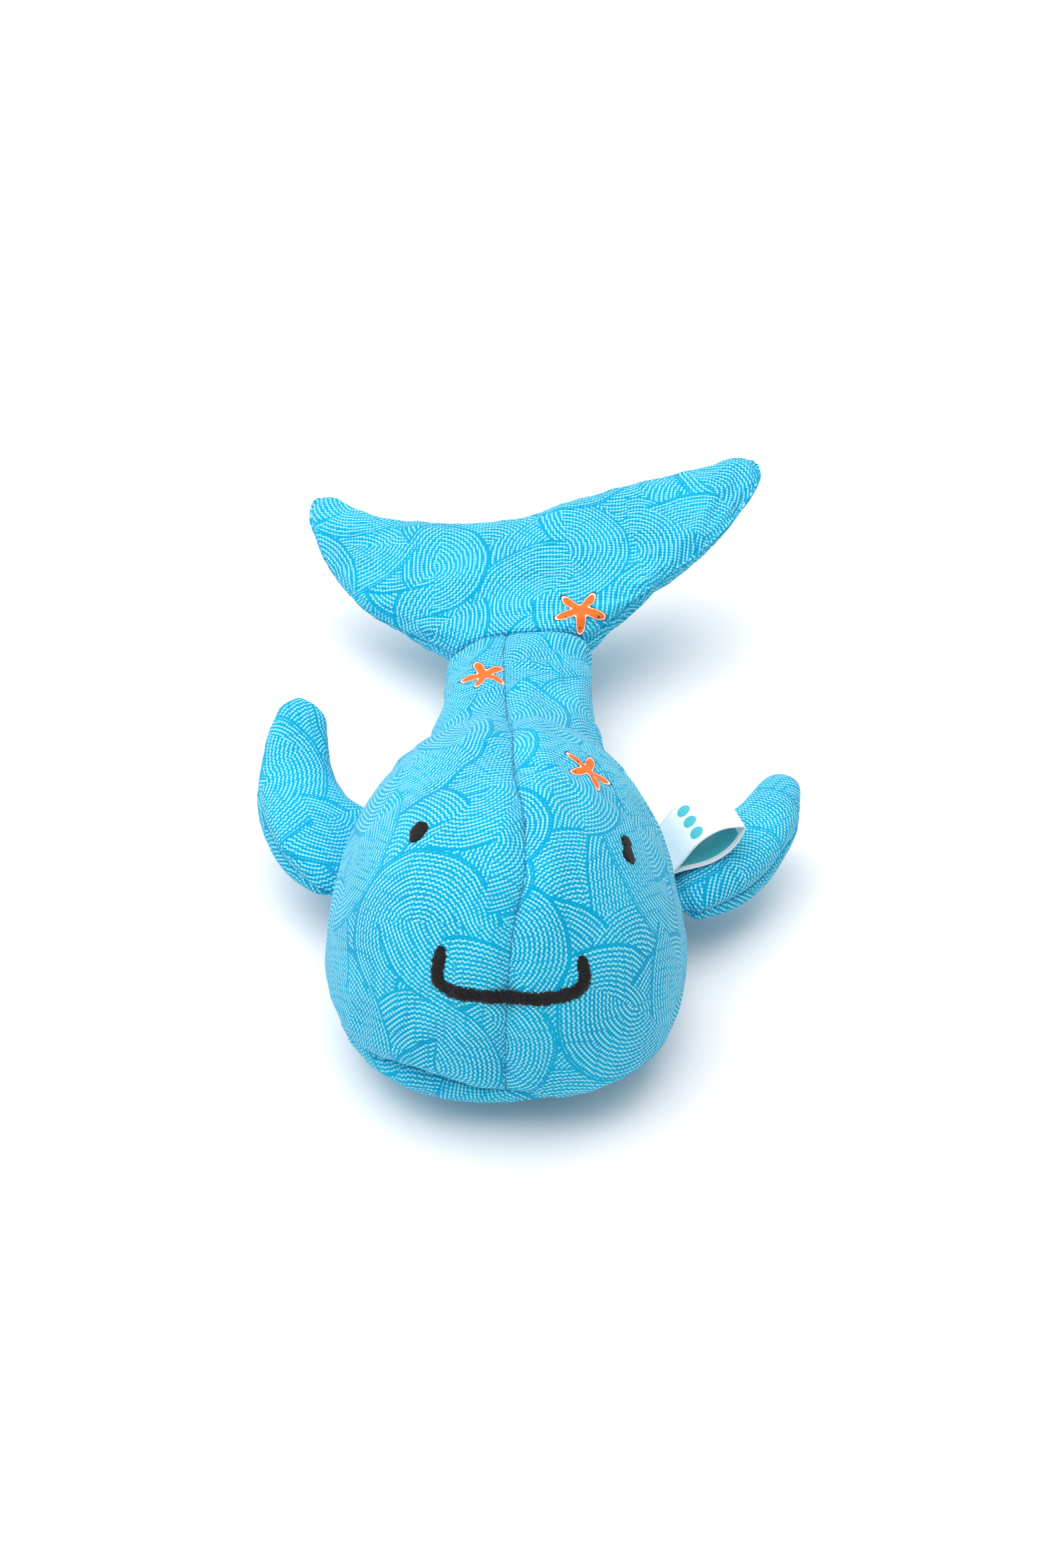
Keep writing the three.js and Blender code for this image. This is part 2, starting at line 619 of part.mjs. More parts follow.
// The rings of the fluke in its own frame: X along the hinge line, Y backwards, Z out of the upper panel.
function flukeRingsMade() {
  const rootHalf = hingeHalfWidth - flukeRootInset;
  const lead = outlineCurve([point(rootHalf, 0, 0)], flukeLeadShares, flukeHalfSpan, flukeLength);
  const trail = outlineCurve([], flukeTrailShares, flukeHalfSpan, flukeLength);
  const mirrored = (p, side) => p.setX(p.x * side);
  const thickness = evenPlaces(flukeThicknessShares);
  const corner = lead.getPointAt(1);
  const rings = [];
  for (let i = 0; i <= flukeRings; i += 1) {
    const share = (i / flukeRings) ** 0.85;
    const middle = tableValue(thickness, flukeThicknessShares, share);
    const grown = Math.min(1, share * 4);
    const full = THREE.MathUtils.lerp(flukeRootHalfThickness, flukeHalfThickness, grown) * middle;
    const height = flukeRim + (full - flukeRim) * roundOff(share, flukeEdgeRoundness);
    const ring = [];
    for (let j = 0; j < flukeSegments; j += 1) {
      const angle = (j / flukeSegments) * 2 * Math.PI;
      const across = Math.cos(angle);
      const side = across < 0 ? -1 : 1;
      const reach = Math.abs(across);
      const root = point(rootHalf * across, 0, 0);
      const edge = mirrored(trail.getPointAt(1 - reach), side);
      const left = mirrored(lead.getPointAt(share), -1);
      const right = lead.getPointAt(share);
      const blend = (across + 1) / 2;
      const p = root.multiplyScalar(1 - share).addScaledVector(edge, share);
      p.addScaledVector(left, 1 - blend).addScaledVector(right, blend);
      p.sub(point(rootHalf * across * (1 - share) + corner.x * across * share, corner.y * share, 0));
      const turn = degrees(flukeYaw) * share;
      p.applyAxisAngle(point(0, 0, 1), turn);
      ring.push(p.setZ(height * power(Math.sin(angle), 2 / limbRoundness)));
    }
    rings.push(ring);
  }
  return rings;
}

// A limb's rings moved in by an inset. Facing points of the thin root ring keep a least share of their distance.
function thinnedRings(rings, inset) {
  const [root, ...others] = insetRings(rings, inset);
  const thinned = root.map((p, j) => {
    const facing = (root.length - j) % root.length;
    const across = rings[0][j].clone().sub(rings[0][facing]);
    const kept = p.clone().sub(root[facing]).dot(across);
    if (kept >= leastThicknessShare * across.lengthSq()) return p;
    const middle = p.clone().add(root[facing]).multiplyScalar(0.5);
    return middle.addScaledVector(across, leastThicknessShare / 2);
  });
  return [thinned, ...others];
}

// A limb's solid at an inset: its rings, open at the root, joined to the round form along its hinge line.
function limbSolid(rings, form, inset) {
  const push = 2 * fillInset - inset;
  const towardsRoot = middleOf(rings[0]).sub(middleOf(rings[1])).setZ(0).setLength(push);
  const moved = thinnedRings(rings, inset);
  const skinned = loftedSolid(inset > 0 ? openedRings(moved, true, towardsRoot) : moved);
  return skinned.add(solidFrom(form(-inset)));
}

// The thread round a limb's edge, from one end of its root to the other, on its middle surface.
function edgeThread(rings, upAt) {
  const half = rings[0].length / 2;
  const tip = rings[rings.length - 1].slice(1, half).map((p, j, list) => {
    const below = rings[rings.length - 1][2 * half - 1 - j];
    return p.clone().add(below).multiplyScalar(0.5);
  });
  const folded = rings[rings.length - 1][0].distanceTo(rings[rings.length - 1][half]) > threadWidth;
  const out = rings.map((ring) => ring[0].clone());
  const home = rings.map((ring) => ring[half].clone()).reverse();
  const path = folded ? [...out, ...tip, ...home] : [...out, ...home.slice(1)];
  const last = path.length - 1;
  const ups = path.map(upAt);
  const outs = path.map((p, i) => {
    const along = path[Math.min(i + 1, last)].clone().sub(path[Math.max(i - 1, 0)]);
    return along.cross(ups[i]).normalize();
  });
  const middle = middleOf(path);
  const outwards = outs.reduce((sum, out, i) => sum + out.dot(path[i].clone().sub(middle)), 0);
  return threadAlong(path, ups, outs.map((out) => out.multiplyScalar(Math.sign(outwards))));
}

// A limb's two cloth panels, edge thread and fill, from its rings, hinge form and cutters.
function limbPieces(rings, form, rootCutter, sheet, upAt) {
  const solidAt = (inset) => limbSolid(rings, form, inset);
  const shell = solidAt(0).subtract(solidAt(clothThickness)).subtract(rootCutter);
  const panels = bodiesOf(shell.subtract(sheet)).slice(0, 2);
  const [upper, lower] = panels.sort((a, b) => b.boundingBox().max[2] - a.boundingBox().max[2]);
  return { upper, lower, edge: edgeThread(rings, upAt), fill: solidAt(fillInset) };
}

// A block that cuts a limb's cloth open ahead of its hinge line.
function rootBlock(halfLength, cut, pitch, turn = 0) {
  const size = 2 * (halfLength + sheetMargin);
  const geometry = new THREE.BoxGeometry(size, size, size).translate(0, -size / 2 - cut, 0);
  return solidFrom(geometry.rotateX(degrees(-pitch)).rotateZ(turn));
}

function flukePieces() {
  const rings = flukeRingsMade();
  const egg = (offset) => hingeForm(hingeHalfWidth, hingeRadius, 2, offset);
  const sheet = solidFrom(new THREE.BoxGeometry(4 * flukeHalfSpan, 4 * flukeLength, skinGap));
  const cutter = rootBlock(hingeHalfWidth, flukeRootCut, flukePitch);
  return limbPieces(rings, egg, cutter, sheet, () => point(0, 0, 1));
}

// The height of a flipper's middle surface above its root, at a place along the root's direction.
const curlShare = (y) => Math.max(0, y - curlStart) / flipperBack;
const curlAt = (flipper, y) => flipper.curl * curlShare(y) ** 2;
const curlUp = (flipper, y) => point(0, (-2 * flipper.curl * curlShare(y)) / flipperBack, 1).normalize();

// A flipper's outline point, turned outwards by its sweep.
function sweptPoint(flipper, p) {
  const turned = THREE.MathUtils.smoothstep(p.x, 0, sweepWidth);
  p.applyAxisAngle(point(0, 0, 1), degrees(-flipper.sweep) * turned);
  return p;
}

// The rings of a flipper in its own frame: Y along its root, backwards, and X out for the left one.
function flipperRingsMade(flipper) {
  const halfRoot = flipperRootLength / 2;
  const lead = outlineCurve([point(0, -halfRoot, 0)], flipperLeadShares, flipperReach, flipperBack);
  const trail = outlineCurve([point(0, halfRoot, 0)], flipperTrailShares, flipperReach, flipperBack);
  const places = evenPlaces(flipperThicknessShares);
  const rings = [];
  for (let i = 0; i <= flipperRings; i += 1) {
    const share = Math.sin((i / flipperRings) * (Math.PI / 2)) ** 1.6;
    const front = sweptPoint(flipper, lead.getPointAt(share));
    const back = sweptPoint(flipper, trail.getPointAt(share));
    const swell = tableValue(places, flipperThicknessShares, share);
    const start = flipperRootHalfThickness - flipperRootOverlap;
    const full = THREE.MathUtils.lerp(start, flipperHalfThickness, swell);
    const height = full * roundOff(share, flipperTipRoundness);
    const ring = [];
    for (let j = 0; j < flipperSegments; j += 1) {
      const angle = (j / flipperSegments) * 2 * Math.PI;
      const blend = (power(Math.cos(angle), 2 / limbRoundness) + 1) / 2;
      const p = back.clone().lerp(front, blend);
      p.z = curlAt(flipper, p.y);
      p.addScaledVector(curlUp(flipper, p.y), height * power(Math.sin(angle), 2 / limbRoundness));
      ring.push(p.setX(p.x * flipper.side));
    }
    rings.push(ring);
  }
  return rings;
}

// A cutting sheet through a flipper's middle surface.
function flipperSheet(flipper) {
  const steps = 24;
  const start = -flipperRootLength / 2 - sheetMargin;
  const path = [];
  for (let i = 0; i <= steps; i += 1) {
    const y = THREE.MathUtils.lerp(start, flipperBack + sheetMargin, i / steps);
    path.push(point(0, y, curlAt(flipper, y)));
  }
  const sides = path.map(() => point(1, 0, 0));
  const ups = path.map((p) => curlUp(flipper, p.y));
  return wallSolid(path, sides, ups, 2 * flipperReach, skinGap / 2);
}

function flipperPieces(flipper) {
  const rings = flipperRingsMade(flipper);
  const rod = (offset) => {
    const form = hingeForm(flipperRootLength / 2, flipperRootHalfThickness, rodRoundness, offset);
    return form.rotateZ(Math.PI / 2);
  };
  const block = rootBlock(flipperRootLength, flipperRootCut, 0, (-flipper.side * Math.PI) / 2);
  return limbPieces(rings, rod, block, flipperSheet(flipper), (p) => curlUp(flipper, p.y));
}

// A place on the skin at a height on one side of the body.
const sidePlace = (y, z, side) => skinPoint(y, turnAtHeight(y, z), side);

// The frame of something sewn to the body's side: its root along Y, its outside along X for the left side.
function sideFrame(side, y, length, above, lift, standOff) {
  const front = y - length / 2;
  const back = y + length / 2;
  const first = sidePlace(front, seamHeight(front) + above, side);
  const last = sidePlace(back, seamHeight(back) + above, side);
  const middle = sidePlace(y, seamHeight(y) + above, side);
  const along = last.clone().sub(first).normalize();
  const level = point(along.y, -along.x, 0).normalize();
  const outward = level.multiplyScalar(side);
  const centre = middle.addScaledVector(outward, standOff);
  const x = outward.multiplyScalar(side);
  const z = x.clone().cross(along).normalize();
  const frame = new THREE.Matrix4().makeBasis(x, along, z);
  frame.multiply(new THREE.Matrix4().makeRotationY(degrees(-lift * side)));
  return frame.setPosition(centre);
}

// The ribbon loop, as rings of a flat band folded back to its start, across the ribbon's width.
function labelSolid() {
  const places = evenPlaces(loopHeightShares);
  const outline = (grow) => {
    const upper = [];
    const steps = 2 * loopHeightShares.length;
    for (let i = 0; i <= steps; i += 1) {
      const share = (1 - Math.cos((i / steps) * Math.PI)) / 2;
      const x = THREE.MathUtils.lerp(ribbonStub - grow, ribbonReach - ribbonThickness + grow, share);
      const half = (tableValue(places, loopHeightShares, share) * ribbonLoopHeight) / 2 + grow;
      upper.push([x, i === 0 || i === steps ? 0 : half]);
    }
    const lower = upper.slice(1, -1).reverse().map(([x, z]) => [x, -z]);
    return [...upper, ...lower];
  };
  const ring = (points, y) => points.map(([x, z]) => point(x, y, z));
  const half = ribbonWidth / 2;
  const across = (points, end) => {
    const rings = [];
    for (let i = 0; i <= ribbonSteps; i += 1)
      rings.push(ring(points, THREE.MathUtils.lerp(-end, end, i / ribbonSteps)));
    return loftedSolid(rings);
  };
  const stub = new THREE.BoxGeometry(ribbonStub, ribbonWidth, 2 * ribbonThickness);
  const band = across(outline(ribbonThickness), half).add(solidFrom(stub.translate(ribbonStub / 2, 0, 0)));
  return band.subtract(across(outline(0), half + sheetMargin));
}

// A solid's faces as a geometry, without the slivers that cutting leaves.
function geometryOf(solid) {
  const mesh = solid.simplify(sliverSize).getMesh();
  const geometry = new THREE.BufferGeometry();
  geometry.setAttribute("position", new THREE.BufferAttribute(mesh.vertProperties, mesh.numProp));
  geometry.setIndex(new THREE.BufferAttribute(mesh.triVerts, 1));
  geometry.computeVertexNormals();
  return geometry;
}

function addPiece(group, name, solid, material) {
  const mesh = new THREE.Mesh(geometryOf(solid), material);
  mesh.name = name;
  group.add(mesh);
}

function addLimb(group, name, pieces) {
  addPiece(group, `${name}_upper_panel`, pieces.upper, cloth);
  addPiece(group, `${name}_lower_panel`, pieces.lower, deepCloth);
  addPiece(group, `${name}_edge_thread`, pieces.edge, thread);
  addPiece(group, `${name}_stuffing`, pieces.fill, fill);
}

function bodyGroup() {
  const group = new THREE.Group();
  const panels = bodyPanels();
  const threads = bodyThreads();
  addPiece(group, "left_side_panel", panels.left, cloth);
  addPiece(group, "right_side_panel", panels.right, cloth);
  addPiece(group, "belly_panel", panels.belly, deepCloth);
  addPiece(group, "body_stuffing", bodyFill(), fill);
  addPiece(group, "centre_seam_thread", threads.centre, thread);
  addPiece(group, "under_tail_seam_thread", threads.underTail, thread);
  addPiece(group, "belly_seam_thread", threads.belly, thread);
  addPiece(group, "tail_seam_thread", threads.tail, thread);
  addPiece(group, "closing_stitch", closingStitch(), thread);
  addPiece(group, "mouth_embroidery", mouthSolid(), blackThread);
  addPiece(group, "left_eye", eyeSolid(leftEye), blackThread);
  addPiece(group, "right_eye", eyeSolid(rightEye), blackThread);
  return group;
}

function flukeGroup() {
  const group = new THREE.Group();
  group.name = "fluke_hinge";
  addLimb(group, "fluke", flukePieces());
  group.position.copy(hingeCentre);
  group.rotation.set(degrees(flukePitch), degrees(-stemTwist), 0, "YXZ");
  return group;
}

function flipperGroup(name, flipper) {
  const group = new THREE.Group();
  group.name = `${name}_hinge`;
  addLimb(group, name, flipperPieces(flipper));
  const standOff = flipperRootHalfThickness + clearance;
  const frame = sideFrame(flipper.side, flipper.rootY, flipperRootLength, 0, flipper.lift, standOff);
  frame.decompose(group.position, group.quaternion, group.scale);
  return group;
}

function labelGroup() {
  const group = new THREE.Group();
  group.name = "label_hinge";
  addPiece(group, "label_loop", labelSolid(), ribbon);
  const standOff = clearance + ribbonThickness;
  const frame = sideFrame(1, ribbonY, ribbonWidth, ribbonAboveSeam, ribbonLift, standOff);
  frame.decompose(group.position, group.quaternion, group.scale);
  return group;
}

const whale = new THREE.Group();
whale.add(bodyGroup(), flukeGroup());
whale.add(flipperGroup("left_flipper", leftFlipper), flipperGroup("right_flipper", rightFlipper));
whale.add(labelGroup());

export default whale;
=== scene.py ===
"""Looks of a small stuffed whale of printed canvas. Shapes are worked out in millimetres and made in metres."""

import math

import bpy
import numpy as np
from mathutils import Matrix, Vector, noise
from mathutils.bvhtree import BVHTree
from mathutils.kdtree import KDTree


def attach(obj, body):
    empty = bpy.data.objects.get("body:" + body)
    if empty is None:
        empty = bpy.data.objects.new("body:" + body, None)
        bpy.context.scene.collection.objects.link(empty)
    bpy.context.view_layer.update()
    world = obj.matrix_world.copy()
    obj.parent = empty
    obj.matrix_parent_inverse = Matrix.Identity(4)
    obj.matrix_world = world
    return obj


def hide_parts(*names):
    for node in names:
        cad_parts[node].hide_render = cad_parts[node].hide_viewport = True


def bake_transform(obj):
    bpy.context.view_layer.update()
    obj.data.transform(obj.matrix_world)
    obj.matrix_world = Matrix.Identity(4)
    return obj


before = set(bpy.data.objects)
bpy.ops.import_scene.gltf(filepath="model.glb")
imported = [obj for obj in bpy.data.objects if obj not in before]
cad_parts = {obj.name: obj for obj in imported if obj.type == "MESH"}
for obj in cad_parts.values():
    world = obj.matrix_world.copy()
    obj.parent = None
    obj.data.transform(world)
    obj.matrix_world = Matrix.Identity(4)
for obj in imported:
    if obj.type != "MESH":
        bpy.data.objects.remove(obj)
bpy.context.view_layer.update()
MM = 0.001
SCENE = bpy.context.scene

# The body's outline, as in the CAD part
HEAD_HALF_WIDTH = 40.8
HEAD_HEIGHT = 68
NOSE_Y = -60
WIDEST_Y = -14
TAIL_Y = 102
WIDEST_Z = 21
HEAD_X = -0.7
STEM_DRIFT = 3.57
STEM_TWIST = math.radians(8)
SEAM_Y = (NOSE_Y, 20, 80)
SEAM_Z = (14, 15.5, 17)
REST_PRESS = 0.8
STATIONS = (0, 0.12, 0.2, 0.29, 0.38, 0.47, 0.56, 0.66, 0.78, 0.9, 0.95, 1)
WIDTHS = (1, 0.961, 0.893, 0.808, 0.726, 0.645, 0.57, 0.52, 0.475, 0.457, 0.45, 0.43)
TOPS = (1, 0.985, 0.95, 0.87, 0.75, 0.62, 0.53, 0.49, 0.465, 0.447, 0.438, 0.424)
BOTTOMS = (0, 0, 0, 0, 0, 0.015, 0.04, 0.08, 0.12, 0.15, 0.162, 0.182)
DRIFTS = (0, 0, 0, 0, 0.14, 0.28, 0.42, 0.56, 0.65, 0.7, 0.85, 1)
TWISTS = (0, 0, 0, 0, 0, 0.1, 0.25, 0.45, 0.7, 0.9, 1, 1)
SEAM_PLACES = (0, 0.06, 0.13, 0.19, 0.3, 0.43, 0.63, 0.76, 1)
SEAM_WANDERS = (0, 0.04, 0.11, 0.11, 0.05, 0.035, 0, -0.04, -0.08)
UPPER_ROUND, LOWER_ROUND, STEM_ROUND = 1.95, 2.75, 2.1
FRONT_ROUND = {"width": 2.45, "top": 2.2, "bottom": 2.9}

# The fluke and the flippers, as in the CAD part
FLUKE_ROOT, FLUKE_SPAN, FLUKE_LENGTH = 18.2, 62, 65.5
FLUKE_ROOT_THICK, FLUKE_THICK, FLUKE_YAW = 9.1, 7, math.radians(-2.5)
FLUKE_LEAD = ((0.46, 0.13), (0.61, 0.25), (0.745, 0.37), (0.87, 0.54), (0.955, 0.71), (1, 0.88), (0.96, 0.99))
FLUKE_TRAIL = ((0.96, 0.99), (0.89, 1), (0.77, 0.925), (0.58, 0.845), (0.385, 0.8), (0.19, 0.77), (0, 0.76))
FLUKE_SWELLS = (1, 0.86, 0.8, 0.8, 0.84, 0.9, 0.95, 1)
FLIPPER_ROOT, FLIPPER_REACH, FLIPPER_BACK, FLIPPER_THICK = 30, 32, 39.5, 7
FLIPPER_LEAD = ((0.28, -0.37), (0.6, -0.18), (0.825, 0.076), (0.97, 0.43), (1.005, 0.8), (0.965, 0.96), (0.83, 1.03))
FLIPPER_TRAIL = ((0.31, 0.446), (0.5, 0.638), (0.59, 0.82), (0.64, 0.94), (0.71, 1.01), (0.83, 1.03))
FLIPPER_SWELLS = (0, 0.5, 0.84, 1, 1, 0.97, 0.93, 0.9, 0.88, 0.86)
CURL_START, SWEEP_WIDTH = 5, 14
FLUKE_SEAM_LIFT = 0.34
# The stuffed fluke isn't even: how far its trailing edge lies back from the even shape, from one tip to the other
FLUKE_LEANS = (-1, -0.8, -0.6, -0.35, 0, 0.12, 0.25, 0.5, 0.66, 0.85, 1)
FLUKE_SHIFTS = (-0.3, -2.5, -4.0, -3.8, -3.0, -0.5, 1.6, 3.0, 2.2, -0.4, -2.4)
FLUKE_LEFT_MORE, FLUKE_RIGHT_MORE = -0.03, 0.08
LIMB_ROUND, TIP_ROUND = 2.3, 4.8

# Threads and the ribbon
STRAND_SIDES = 6
STITCH_PITCH, STITCH_RADIUS, STITCH_SINK, STITCH_ARCH, STITCH_ENDS, SHARP_TURN = 2.6, 0.24, -0.16, 0.06, 0.6, 0.9
LADDER_EVERY, LADDER_HALF = 6, 1.9
SATIN_PITCH, SATIN_RADIUS, SATIN_STEPS, MOUTH_HALF = 0.34, 0.26, 7, 1.6
RIBBON_WIDTH, RIBBON_REACH, RIBBON_STUB, RIBBON_HEIGHT = 15, 21.8, 2.6, 7.4

# Where each moving piece's own frame lies: X, Y and Z directions and the place, from the CAD part's groups
LIMBS = {
    "left_flipper": ((0.95788, 0.28504, 0.03489), (-0.28583, 0.95807, 0.02013), (-0.02769, -0.02926, 0.99919),
                     (35.13347, 15.5146, 15.39448)),
    "right_flipper": ((0.91689, -0.31748, -0.2419), (0.33019, 0.94383, 0.01285), (0.22423, -0.09165, 0.97022),
                      (-34.85462, 20.59439, 15.5)),
    "label": ((0.84713, 0.27615, 0.45399), (-0.30993, 0.95076, 0), (-0.43164, -0.1407, 0.89101),
              (34.48475, 15.21695, 21)),
    "fluke": ((0.99027, 0, 0.13917), (-0.03602, 0.96593, 0.2563), (-0.13443, -0.25882, 0.95653),
              (2.87, 102, 20.6)),
}

# Cloth: its thickness, the valleys, shoulders and puckers at its seams, and the soft lumps of its filling
CLOTH = 0.8
SEAM_DEPTH, SEAM_WIDTH, SEAM_DIP, SEAM_DIP_WIDTH = 1.1, 1.2, 0.6, 3.2
SHOULDER, SHOULDER_AT, SHOULDER_WIDTH = 0.3, 6.5, 3
PUCKER, PUCKER_REACH, PUCKER_PITCH = 0.5, 4.5, 3.2
LUMP, LUMP_SIZE, FINE_LUMP = 0.5, 21, 0.35
LIMB_LUMP, LIMB_SEAM_DEPTH, FLAT_SEAM_DEPTH = 0.4, 0.9, 0.25
TIP_REACH, TIP_ROUNDS = 6, 20

# Counts of rings and of points round them, for the cloth and for the trial: the body's nose comes before its back
BODY_RINGS, BODY_TRIAL = (44, 104, 220), (18, 42, 76)
FLUKE_RINGS, FLUKE_TRIAL, FLIPPER_RINGS, FLIPPER_TRIAL = (84, 220), (26, 72), (62, 96), (16, 32)

# The trial of filled cloth: how near a seam it is held, its slack, and how its wrinkles are read
SIM_HELD, SIM_SLACK, SIM_FRAMES, SIM_SMOOTH, SIM_GAIN, SIM_MOST = 2.4, 0.035, 20, 8, 0.8, 0.65

# The fibre: how far it lies under the cloth, and the rings of a limb that it leaves out at the tip and the root
FIBRE_INSET, LIMB_FIBRE_INSET, FIBRE_SHORT, FIBRE_START, FLIPPER_FIBRE_START = 1.5, 2, 14, 1, 12
FIBRE_EASE, FIBRE_EASE_ROUNDS = 26, 90

# The hand-sewn opening at the chin: the seam rises and lies deeper there
CREASE_X, CREASE_HALF, CREASE_RISE, CREASE_BACK, CREASE_FADE, CREASE_DEPTH = -20, 10, 3.2, -34, 14, 1.8

# Beside the opening the seam drops, and the chin is tucked in
CHIN_DROP, CHIN_DROP_HALF, CHIN_DROP_FADE = 5.0, 14, 16
CHIN_TUCK, CHIN_BACK, CHIN_FADE, CHIN_TOP, CHIN_TOP_FADE = 2.4, -22, 24, 14, 9

# The fold where the head bulges back over the stem
FOLD_Y, FOLD_DEPTH, FOLD_WIDTH, FOLD_BOW, FOLD_LOW = 47, 2.2, 3.0, 0.02, 18
FOLD_SWELL, FOLD_SWELL_AHEAD, FOLD_SWELL_WIDTH = 0.9, 8, 6


def add_camera():
    camera = bpy.data.cameras.new("camera")
    camera.sensor_fit, camera.sensor_height, camera.lens = "VERTICAL", 36, 65.82
    holder = bpy.data.objects.new("camera", camera)
    holder.location = Vector((3, -517.96, 444.89)) * MM
    aim = Vector((3, 22, 38)) * MM - holder.location
    holder.rotation_euler = aim.to_track_quat("-Z", "Y").to_euler()
    SCENE.collection.objects.link(holder)
    SCENE.camera = holder


add_camera()


def table(places, values, at):
    """A smooth curve through a table of values, without overshoot."""
    p, v = np.asarray(places, float), np.asarray(values, float)
    x = np.clip(at, p[0], p[-1])
    i = np.clip(np.searchsorted(p, x) - 1, 0, len(p) - 2)
    step = np.diff(p)
    slope = np.diff(v) / step
    before, after = slope[:-1], slope[1:]
    both = before + after
    inner = np.where(before * after <= 0, 0, 2 * before * after / np.where(both == 0, 1, both))
    tangent = np.concatenate([slope[:1], inner, slope[-1:]])
    t = (x - p[i]) / step[i]
    rise = (v[i + 1] - v[i]) * t * t * (3 - 2 * t)
    return v[i] + rise + step[i] * (tangent[i] * t * (1 - t) ** 2 - tangent[i + 1] * t * t * (1 - t))


def round_off(share, roundness):
    return (1 - np.minimum(share, 1) ** roundness) ** (1 / roundness)


def power(value, exponent):
    return np.sign(value) * np.abs(value) ** exponent


def smooth(x):
    x = np.clip(x, 0, 1)
    return x * x * (3 - 2 * x)


def bell(x, width):
    return math.exp(-((x / width) ** 2))


def norms(rows):
    return np.linalg.norm(rows, axis=-1)


def turned(x, y, angle):
    """Places turned about their origin."""
    cos, sin = np.cos(angle), np.sin(angle)
    return x * cos - y * sin, x * sin + y * cos


def section(y):
    ahead = np.clip((WIDEST_Y - y) / (WIDEST_Y - NOSE_Y), 0, 1)
    behind = np.clip((y - WIDEST_Y) / (TAIL_Y - WIDEST_Y), 0, 1)
    share = lambda shares: table(STATIONS, shares, behind)
    pressed = HEAD_HEIGHT * share(BOTTOMS) - REST_PRESS * (1 - behind)
    top = WIDEST_Z + (HEAD_HEIGHT * share(TOPS) - WIDEST_Z) * round_off(ahead, FRONT_ROUND["top"])
    bottom = WIDEST_Z - (WIDEST_Z - pressed) * round_off(ahead, FRONT_ROUND["bottom"])
    half = HEAD_HALF_WIDTH * share(WIDTHS) * round_off(ahead, FRONT_ROUND["width"])
    x = HEAD_X + STEM_DRIFT * share(DRIFTS)
    return half, top, bottom, x, STEM_TWIST * share(TWISTS), behind


def outline(y, turn):
    """Points of the body's skin, and their heights before the stem's twist."""
    y, turn = np.broadcast_arrays(np.asarray(y, float), np.asarray(turn, float))
    half, top, bottom, centre, twist, stem = section(y)
    angle = turn * 2 * math.pi
    upper = np.sin(angle) >= 0
    head = np.where(upper, UPPER_ROUND, LOWER_ROUND)
    exponent = 2 / (head + (STEM_ROUND - head) * stem)
    height = np.where(upper, top - WIDEST_Z, WIDEST_Z - bottom)
    x = half * power(np.cos(angle), exponent)
    level = WIDEST_Z + height * power(np.sin(angle), exponent)
    middle = (top + bottom) / 2
    x, z = turned(x, level - middle, twist)
    return np.stack([centre + x, y, np.maximum(0, middle + z)], -1), level


def seam_levels():
    """The belly seam's height before the twist, at many places along Y."""
    y = np.linspace(NOSE_Y, TAIL_Y, 1200)
    height = table(SEAM_Y, SEAM_Z, y)
    low, high = np.full(len(y), -0.25), np.zeros(len(y))
    for _ in range(40):
        middle = (low + high) / 2
        under = outline(y, middle)[1] < height
        low, high = np.where(under, middle, low), np.where(under, high, middle)
    closing = np.clip((y - SEAM_Y[1]) / (SEAM_Y[2] - SEAM_Y[1]), 0, 1)
    turn = -0.25 + (low + 0.25) * round_off(closing, 2)
    level = outline(y, turn)[1]
    bottom = outline(y, -0.25)[1]
    level = np.where(bottom > height, height, level)
    return y, np.where(y > SEAM_Y[2], bottom - 0.3 * (y - SEAM_Y[2]), level)


LEVEL_Y, LEVEL_Z = seam_levels()


def seam_values(y, turn):
    """How far a place lies to the left of the centre seam, and above the belly seam."""
    points, level = outline(y, turn)
    _, top, bottom, centre, twist, _ = section(y)
    wander = HEAD_HALF_WIDTH * table(SEAM_PLACES, SEAM_WANDERS, (y - NOSE_Y) / (TAIL_Y - NOSE_Y))
    across = points[..., 0] - centre - wander
    beside = across * np.cos(twist) + (points[..., 2] - (top + bottom) / 2) * np.sin(twist)
    rise = CREASE_RISE * np.exp(-(((points[..., 0] - CREASE_X) / CREASE_HALF) ** 2))
    rise = rise * (1 - smooth((y - CREASE_BACK) / CREASE_FADE))
    rise -= CHIN_DROP * smooth(points[..., 0] / CHIN_DROP_HALF) * (1 - smooth((y - CREASE_BACK) / CHIN_DROP_FADE))
    return beside, level - np.interp(y, LEVEL_Y, LEVEL_Z) - rise


def snapped(y, turn, segments):
    """Moves grid places that lie almost on a seam onto it."""
    around = 2 * math.pi * np.maximum(section(y)[0], 1)
    near = np.minimum(0.3, 0.3 * around / segments)
    step = 0.05
    for which in (0, 1, 0, 1):
        value = lambda dy, dt: seam_values(y + dy, turn + dt / around)[which]
        slope_y = (value(step, 0) - value(-step, 0)) / (2 * step)
        slope_t = (value(0, step) - value(0, -step)) / (2 * step)
        size = np.maximum(slope_y ** 2 + slope_t ** 2, 1e-3)
        here = value(0, 0)
        move = np.where(np.abs(here) < near * np.sqrt(size), -here / size, 0)
        y = np.clip(y + move * slope_y, NOSE_Y + 0.01, TAIL_Y)
        turn = turn + move * slope_t / around
    return y, turn


def ring_index(count, segments):
    """Vertex numbers of closed rings. The first column comes again at the end."""
    index = np.arange(count * segments).reshape(count, segments)
    return np.concatenate([index, index[:, :1]], 1)


